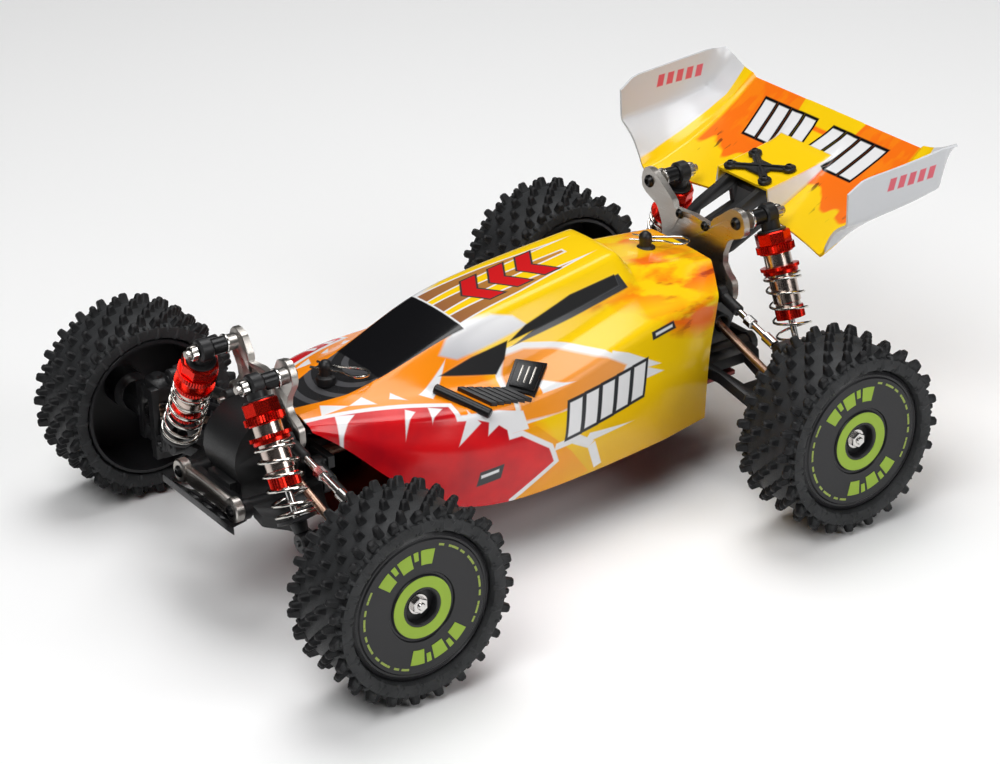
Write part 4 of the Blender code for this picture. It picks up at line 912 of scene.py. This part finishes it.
# ---------------- body shell
SHELL_SECTIONS = [
    # y, then (x, z) of: crown, roof edge, waist, shoulder, widest point, lower edge
    (-97, (0, 76), (13, 76.4), (17, 75.6), (21, 74.6), (23, 73.6), (24, 72.6)),
    (-87, (0, 76.8), (14, 77.6), (19, 77), (29, 75.6), (34, 71.5), (34.5, 66.5)),
    (-75, (0, 78.2), (15.5, 79), (22, 78.2), (36, 75.4), (42.5, 66), (42, 53)),
    (-60, (0, 83.5), (17, 82.6), (26, 79), (42, 74.5), (49, 60), (46, 41)),
    (-45, (0, 89), (18, 88), (31, 78), (47, 73), (54, 55), (50, 31)),
    (-20, (0, 98.5), (20.5, 97), (34, 76), (50, 71.5), (57, 50), (52.5, 28)),
    (5, (0, 102), (20.5, 100.5), (35, 78), (50, 72), (57, 50), (52, 28)),
    (30, (0, 105), (19.5, 103.5), (33, 84), (48, 77), (54.5, 51), (50, 28)),
    (60, (0, 108), (16.5, 107), (29, 91), (44, 82), (49, 54), (46, 28)),
    (66, (0, 99), (17, 99), (28, 91), (43, 82.5), (47.5, 55), (45, 28)),
    (84, (0, 96.5), (19.5, 96), (27, 91), (40.5, 83.5), (43.5, 56), (42, 29)),
    (98, (0, 93.5), (22, 92.5), (27, 88), (36.5, 82), (40, 58), (40.5, 28.5)),
]
REAR_RAKE = (9.0, 9.0, 7.0, 2.0, -6.0, -9.0)
SHARP_LINES = {1: 0.8, 2: 0.7, 3: 0.85, 4: 0.3, 5: 1.0}
SHARP_ROWS = {0: 1.0, 8: 0.8, 9: 0.7, 11: 1.0}


def skin(rows, thickness, creases, row_creases):
    """A half surface through rows of points, mirrored, smoothed and given a wall."""
    across, along = len(rows[0]), len(rows)
    bm = bmesh.new()
    bmesh.ops.create_grid(bm, x_segments=across - 1, y_segments=along - 1, size=1.0)
    bm.verts.ensure_lookup_table()
    crease = bm.edges.layers.float.new("crease_edge")
    for index, vert in enumerate(bm.verts):
        vert.co = rows[index // across][index % across]
    bm.verts.index_update()
    for edge in bm.edges:
        first, second = (v.index for v in edge.verts)
        if abs(first - second) == across:
            edge[crease] = creases.get(first % across, 0.0)
        elif abs(first - second) == 1:
            edge[crease] = row_creases.get(first // across, 0.0)
    bmesh.ops.mirror(bm, geom=bm.verts[:] + bm.edges[:] + bm.faces[:], axis="X", merge_dist=0.001)
    bmesh.ops.remove_doubles(bm, verts=bm.verts, dist=0.001)
    bmesh.ops.recalc_face_normals(bm, faces=bm.faces)
    top = max(bm.faces, key=lambda face: face.calc_center_median().z)
    if top.normal.z < 0:
        bmesh.ops.reverse_faces(bm, faces=bm.faces)
    mesh = bpy.data.meshes.new("skin")
    bm.to_mesh(mesh)
    bm.free()
    holder = placed("skin", mesh)
    soft = holder.modifiers.new("Smooth", "SUBSURF")
    soft.levels = soft.render_levels = 3
    soft.boundary_smooth = "PRESERVE_CORNERS"
    wall = holder.modifiers.new("Wall", "SOLIDIFY")
    wall.thickness = thickness
    wall.offset = -1.0
    done = bpy.data.meshes.new_from_object(holder.evaluated_get(bpy.context.evaluated_depsgraph_get()))
    bpy.data.objects.remove(holder)
    bm = bmesh.new()
    bm.from_mesh(done)
    return bm


def slab(corners, lift, depth, bevel=0.35):
    """A plate whose top is a quadrilateral raised by lift from its corners, with a rounded rim."""
    bm = bmesh.new()
    face = bm.faces.new([bm.verts.new(corner) for corner in corners])
    bm.normal_update()
    out = face.normal.copy()
    if out.z < 0:
        out.negate()
    bmesh.ops.translate(bm, vec=out * lift, verts=bm.verts)
    below = bmesh.ops.extrude_face_region(bm, geom=[face])["geom"]
    bmesh.ops.translate(bm, vec=-out * depth, verts=verts_of(below))
    bmesh.ops.recalc_face_normals(bm, faces=bm.faces)
    rounded(bm, bm.edges, bevel, 2)
    return bm


def build_louvres():
    """The dark louvre plate with three pale lines, the stepped plate beside it and the side tube."""
    corners = ((33, -4, 81.2), (39, 8, 77.8), (50.5, -6.5, 71.6), (42.5, -16, 74.8))
    a, b, c, d = (Vector(corner) for corner in corners)
    frame_plate = slab([a, b, c, d], 0.9, 4.0)
    inner = [p.lerp((a + b + c + d) / 4, 0.16) for p in (a, b, c, d)]
    join(frame_plate, slab(inner, 2.2, 3.0, 0.6))
    lines = bmesh.new()
    for share in (0.3, 0.5, 0.7):
        start, end = a.lerp(b, share), d.lerp(c, share)
        wide = (b - a).normalized() * 0.45
        first, last = start.lerp(end, 0.25), start.lerp(end, 0.78)
        join(lines, slab([first - wide, first + wide, last + wide, last - wide], 2.5, 0.6, 0.1))
    steps = bmesh.new()
    for number in range(6):
        share = number / 6
        inner_edge = Vector((34.5, -34, 77.4)).lerp(Vector((43, -14, 75)), share)
        outer_edge = Vector((48, -26.5, 73)).lerp(Vector((51, -8, 71.4)), share)
        ahead = Vector((1.0, 2.6, -0.2))
        corners = [inner_edge, inner_edge + ahead, outer_edge + ahead, outer_edge]
        join(steps, slab(corners, 1.3 - share * 0.6, 3.0, 0.25))
    pipe = cylinder((31.5, -43, 79.2), (51.5, -29, 71.0), 2.2, 28, 0.5)
    piece("louvre_plate", frame_plate, "chassis", "screw")
    piece("louvre_lines", lines, "chassis", "plate")
    piece("side_steps", steps, "chassis", "nylon")
    piece("side_pipe", pipe, "chassis", "screw")


def build_shell():
    rows = [[(x, y, z) for x, z in section] for y, *section in SHELL_SECTIONS]
    rows[-1] = [(x, y + lean, z) for (x, y, z), lean in zip(rows[-1], REAR_RAKE)]
    bm = skin(rows, 1.0, SHARP_LINES, SHARP_ROWS)
    piece("painted_shell", bm, "chassis", "shell", ["body_shell"], angle=60)
    build_louvres()


# ---------------- wing
WING_FRONT, WING_CHORD, WING_SWEEP = 134.0, 60.5, 7.5
BLADE = [(0, 101.0), (7, 103.0), (11, 104.6), (24, 110.0), (38, 117.6), (50, 125.4), (60.5, 133.4)]
PLATFORM = [(0.0, 114.8), (18.0, 117.6), (31.0, 120.0), (38.0, 121.6), (60.5, 133.4)]
BLADE_EDGES = [64.0, 63.0, 62.4, 61.6, 60.6, 59.6, 58.8]
PLATES = [
    # (x, z) of each end plate's shoulder, foot and top, at each station of the blade
    ((70.0, 115.3), (79.2, 120.5), (79.5, 134.5)),
    ((71.0, 114.5), (79.5, 120.8), (80.1, 138.8)),
    ((71.0, 114.8), (79.6, 121.0), (80.3, 139.6)),
    ((71.0, 116.5), (79.8, 122.0), (80.6, 140.4)),
    ((71.0, 119.5), (79.8, 123.3), (80.6, 141.4)),
    ((70.5, 123.3), (79.6, 125.0), (80.2, 142.4)),
    ((66.8, 136.2), (73.6, 139.4), (79.4, 142.3)),
]
WING_LINES = {1: 1.0, 2: 1.0, 4: 0.6, 5: 0.6, 7: 0.75, 8: 1.0}
WING_ROWS = {0: 1.0, 1: 0.9, 2: 0.8, 3: 0.4, 4: 0.4, 5: 0.9, 6: 1.0}


def height_on(profile, along):
    for (a0, z0), (a1, z1) in zip(profile, profile[1:]):
        if along <= a1:
            return z0 + (z1 - z0) * (along - a0) / (a1 - a0)
    return profile[-1][1]


def build_wing():
    """The swept blade with its raised middle platform and upright end plates."""
    rows = []
    for (along, z), edge, plate in zip(BLADE, BLADE_EDGES, PLATES):
        inner = WING_SWEEP + along * (1 - WING_SWEEP / WING_CHORD)
        middle = (along + inner) / 2
        low = height_on(BLADE, inner)
        high = max(low + 0.2, height_on(PLATFORM, inner - WING_SWEEP))
        y = WING_FRONT + along
        blade = [
            (0.0, WING_FRONT + inner, high),
            (17.6, WING_FRONT + inner, high),
            (20.0, WING_FRONT + inner, low),
            (46.0, WING_FRONT + middle, height_on(BLADE, middle)),
            (edge - 2.0, y, z),
            (edge, y, z + 1.6),
        ]
        rows.append(blade + [(plate_x, y, plate_z) for plate_x, plate_z in plate])
    bm = skin(rows, 1.2, WING_LINES, WING_ROWS)
    piece("painted_wing", bm, "chassis", "wing", ["rear_wing"], angle=50)
    build_button()


def build_button():
    """The four-armed plate on the wing's platform and its screws."""
    slope = math.atan2(PLATFORM[1][1] - PLATFORM[0][1], 18.0)
    middle = Matrix.Translation((0, WING_FRONT + WING_SWEEP + 10.0, height_on(PLATFORM, 8.0) + 0.5))
    place = middle @ Matrix.Rotation(slope, 4, "X")
    bm = block((-6, -5, 0), (6, 5, 1.4), 0.5, 1)
    for x in (-12.0, 12.0):
        for y in (-7.0, 7.0):
            join(bm, cylinder((x, y, 0), (x, y, 2.0), 3.1, 24, 0.4))
            outwards = Matrix.Rotation(math.atan2(-x, y), 4, "Z")
            join(bm, block((-1.9, 0, 0), (1.9, 13.6, 1.7), 0.4, 1), outwards)
            join(bm, block((-0.5, 0, 1.2), (0.5, 12.0, 2.5), 0.2, 1), outwards)
            join(bm, screw((x, y, 1.9), (0, 0, 1), 1.9, 1.3))
    piece("wing_button", moved(bm, place), "chassis", "nylon")


# ---------------- towers, links and fasteners
def build_tower_fittings():
    """The shocks' upper pins with their nuts and sleeves, and the towers' screws."""
    for end, side in CORNERS:
        away = -1 if end == "front" else 1
        sign = 1 if side == "left" else -1
        top = pivot(f"{end}_{side}_shock_swing")

        def pin(distance):
            return top + Vector((0, away * distance, 0))

        nut = hexagon(pin(3.3), pin(6.3), 3.3)
        join(nut, cylinder(pin(3.1), pin(8.2), 1.7, 20))
        join(nut, cylinder(pin(-10.4), pin(-9.4), 4.2, 32))
        piece(f"{end}_{side}_shock_nut", nut, "chassis", "steel")
        sleeve = cylinder(pin(-9.6), pin(-3.2), 3.6, 30, 0.3)
        join(sleeve, screw(pin(-17.4), (0, -away, 0), 2.9, 1.7))
        low_screw = (sign * 9.0, pin(-17.4).y, top.z - 8.5)
        join(sleeve, screw(low_screw, (0, -away, 0), 2.3, 1.3))
        piece(f"{end}_{side}_shock_sleeve", sleeve, "chassis", "screw")


LINK_EYE = 3.8


def build_links():
    """The upper links: a steel turnbuckle between two black rod ends."""
    for end, side in CORNERS:
        corner = f"{end}_{side}"
        low, high = node_box(f"{corner}_upper_link")
        low, high = low - MIDDLE, high - MIDDLE
        start = pivot(f"{corner}_link_swing")
        end_x = high.x - LINK_EYE if side == "left" else low.x + LINK_EYE
        stop = Vector((end_x, start.y, low.z + LINK_EYE))
        along = (stop - start).normalized()
        middle = (start + stop) / 2
        steel = cylinder(start + along * 12, stop - along * 10, 1.5, 18)
        join(steel, hexagon(middle - along * 2.5, middle + along * 2.5, 2.5))
        join(steel, cylinder(stop - along * 11, stop - along * 4, 2.4, 20))
        ends = cylinder(start + along * 3, start + along * 14, 2.6, 20, 0.5)
        half_eye = Vector((0, 2.2, 0))
        for at in (start, stop):
            join(ends, cylinder(at - half_eye, at + half_eye, LINK_EYE, 28, 0.6))
        piece(f"{corner}_turnbuckle", steel, f"{corner}_link", "steel", [f"{corner}_upper_link"])
        piece(f"{corner}_link_ends", ends, f"{corner}_link", "nylon")


CLIP_WIRE = [
    # the wire's bends: along the pull, and beside it
    (-7, 0), (6, 0), (9, -0.6), (12, -2.4), (15.5, -3.0), (18.6, -0.8), (19.0, 2.4), (16.4, 5.2),
    (12.8, 5.4), (9.5, 4.6), (6.5, 4.3), (2, 3.7), (-2, 4.0), (-6.5, 5.6),
]
POST_CAP = [
    (0, 4.2), (1.5, 3.9), (2.6, 2.9), (2.9, 1.6), (2.7, 0.5), (2.75, -2.2), (4.2, -3.0), (4.4, -4.4),
    (4.0, -6.5), (0, -6.5),
]
POST_Y = {"front": -75.5, "rear": 88.0}


def build_clips():
    """The bent wire clips in their posts, and a rounded cap on each post."""
    for end in ("front", "rear"):
        out = Vector(JOINTS[f"{end}_clip_pull"]["axis"]).normalized()
        beside = Vector((-out.y, out.x, 0))
        low, high = node_box(f"{end}_body_clip")
        post = Vector((0, POST_Y[end], (low.z + high.z) / 2))
        points = [post + out * a + beside * b for a, b in CLIP_WIRE]
        piece(f"{end}_clip_wire", tube(points, 0.6, 12), f"{end}_clip", "spring", [f"{end}_body_clip"])
        cap = turned(POST_CAP, 32, closed=False)
        bmesh.ops.translate(cap, vec=post, verts=cap.verts)
        piece(f"{end}_post_cap", cap, "chassis", "nylon")


def build_front_brace():
    """The silver brace behind the bumper with its pin ends."""
    low, _ = node_box("front_bumper")
    y = low.y - MIDDLE.y + 9.0
    pin_x, pin_z = 21.5, 48.4
    bm = block((-19, y - 1.5, 44.0), (19, y + 1.5, 52.0), 0.8, 2)
    caps = bmesh.new()
    for x in (-pin_x, pin_x):
        join(bm, cylinder((x, y - 2.4, pin_z), (x, y + 2.0, pin_z), 5.2, 32, 0.6))
        join(caps, screw((x, y - 2.3, pin_z), (0, -1, 0), 2.6, 1.4))
    piece("front_brace", bm, "chassis", "plate")
    piece("front_brace_screws", caps, "chassis", "screw")


EDGE_WIDTH = 0.45


def refined(node, finish):
    """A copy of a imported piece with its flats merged, its edges cut back and its barrels smooth."""
    bm = bmesh.new()
    bm.from_mesh(frame["nodes"][node].data)
    bmesh.ops.remove_doubles(bm, verts=bm.verts, dist=0.002 * MM)
    bmesh.ops.scale(bm, vec=(1 / MM,) * 3, verts=bm.verts)
    bmesh.ops.translate(bm, vec=-MIDDLE, verts=bm.verts)
    bmesh.ops.dissolve_limit(bm, angle_limit=math.radians(2), verts=bm.verts, edges=bm.edges)
    sharp = [e for e in bm.edges if e.is_manifold and e.calc_face_angle() > math.radians(48)]
    rounded(bm, sharp, EDGE_WIDTH, 1, clamp=True)
    body = body_of(frame["nodes"][node])[0]
    piece(f"{node}_finished", bm, body, finish, [node], angle=40)


def dress_packed_pieces():
    """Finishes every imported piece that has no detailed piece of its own."""
    rules = (
        ("_shock_tower", "plate"),
        ("_drive_shaft", "bronze"),
        ("chassis_plate", "chassis"),
        ("drive_motor", "motor"),
        ("battery_pack", "battery"),
    )
    detailed = ("_tyre", "_wheel", "_wheel_axle", "_shock_body", "_shock_rod", "_spring", "_upper_link")
    detailed += ("_body_clip", "body_shell", "rear_wing")
    for node in sorted(frame["nodes"]):
        if not node.endswith(detailed):
            finish = next((found for ending, found in rules if node.endswith(ending)), "nylon")
            refined(node, finish)
    for node in frame["nodes"].values():
        node.data.materials.clear()
        node.data.materials.append(FINISHES["nylon"])


# ---------------- studio
CAMERA_ANGLE = math.radians(56.7)
CAMERA_LIFT = math.radians(26.0)
CAMERA_ROLL = math.radians(-2.0)
CAMERA_PLACE = (958.3, -619.7, 613.2)
CAMERA_LENS = 107.153
FLOOR_COLOUR = (0.97, 0.97, 0.97, 1)
SKY_STRENGTH = {"From Min": -0.1, "From Max": 0.75, "To Min": 0.16, "To Max": 0.85}
SOFTBOXES = [
    # name, place in metres, size in metres, power in watts
    ("key", (0.5, -0.9, 1.5), 1.0, 16.0),
    ("fill", (1.5, 0.5, 0.9), 0.8, 9.0),
    ("top", (-0.3, 0.3, 1.6), 1.1, 18.0),
]


def build_floor():
    bm = bmesh.new()
    bmesh.ops.create_grid(bm, x_segments=1, y_segments=1, size=4.0)
    mesh = bpy.data.meshes.new("floor")
    bm.to_mesh(mesh)
    bm.free()
    white = bpy.data.materials.new("floor_white")
    white.use_nodes = True
    shader = white.node_tree.nodes["Principled BSDF"]
    shader.inputs["Base Color"].default_value = FLOOR_COLOUR
    shader.inputs["Roughness"].default_value = 0.55
    mesh.materials.append(white)
    floor = placed("floor", mesh)
    floor.location.z = -0.0004


def build_light():
    """A sky that brightens upwards, and three soft boxes."""
    world = bpy.data.worlds.new("studio")
    world.use_nodes = True
    nodes, links = world.node_tree.nodes, world.node_tree.links
    direction = nodes.new("ShaderNodeSeparateXYZ")
    links.new(nodes.new("ShaderNodeTexCoord").outputs["Generated"], direction.inputs[0])
    height = nodes.new("ShaderNodeMapRange")
    for name, given in SKY_STRENGTH.items():
        height.inputs[name].default_value = given
    links.new(direction.outputs["Z"], height.inputs["Value"])
    links.new(height.outputs["Result"], nodes["Background"].inputs["Strength"])
    bpy.context.scene.world = world
    bpy.context.scene.view_settings.view_transform = "Standard"
    for name, place, size, power in SOFTBOXES:
        light = bpy.data.lights.new(name, "AREA")
        light.size = size
        light.energy = power
        holder = placed(name, light)
        holder.location = place
        holder.rotation_euler = (-Vector(place)).to_track_quat("-Z", "Y").to_euler()


def build_camera():
    camera = bpy.data.cameras.new("camera")
    camera.lens = CAMERA_LENS
    camera.sensor_width = 36.0
    camera.clip_end = 20.0
    holder = placed("camera", camera)
    right = Vector((math.cos(CAMERA_ANGLE), math.sin(CAMERA_ANGLE), 0))
    level = Vector((right.y, -right.x, 0)) * math.cos(CAMERA_LIFT)
    back = level + Vector((0, 0, math.sin(CAMERA_LIFT)))
    up = back.cross(right)
    rolled_right = right * math.cos(CAMERA_ROLL) + up * math.sin(CAMERA_ROLL)
    rolled_up = up * math.cos(CAMERA_ROLL) - right * math.sin(CAMERA_ROLL)
    turned_to = Matrix((rolled_right, rolled_up, back)).transposed().to_4x4()
    holder.matrix_world = Matrix.Translation((Vector(CAMERA_PLACE) + MIDDLE) * MM) @ turned_to
    bpy.context.scene.camera = holder


dress_packed_pieces()
build_wheels()
build_shocks()
build_shell()
build_wing()
build_tower_fittings()
build_links()
build_clips()
build_front_brace()
build_floor()
build_light()
build_camera()
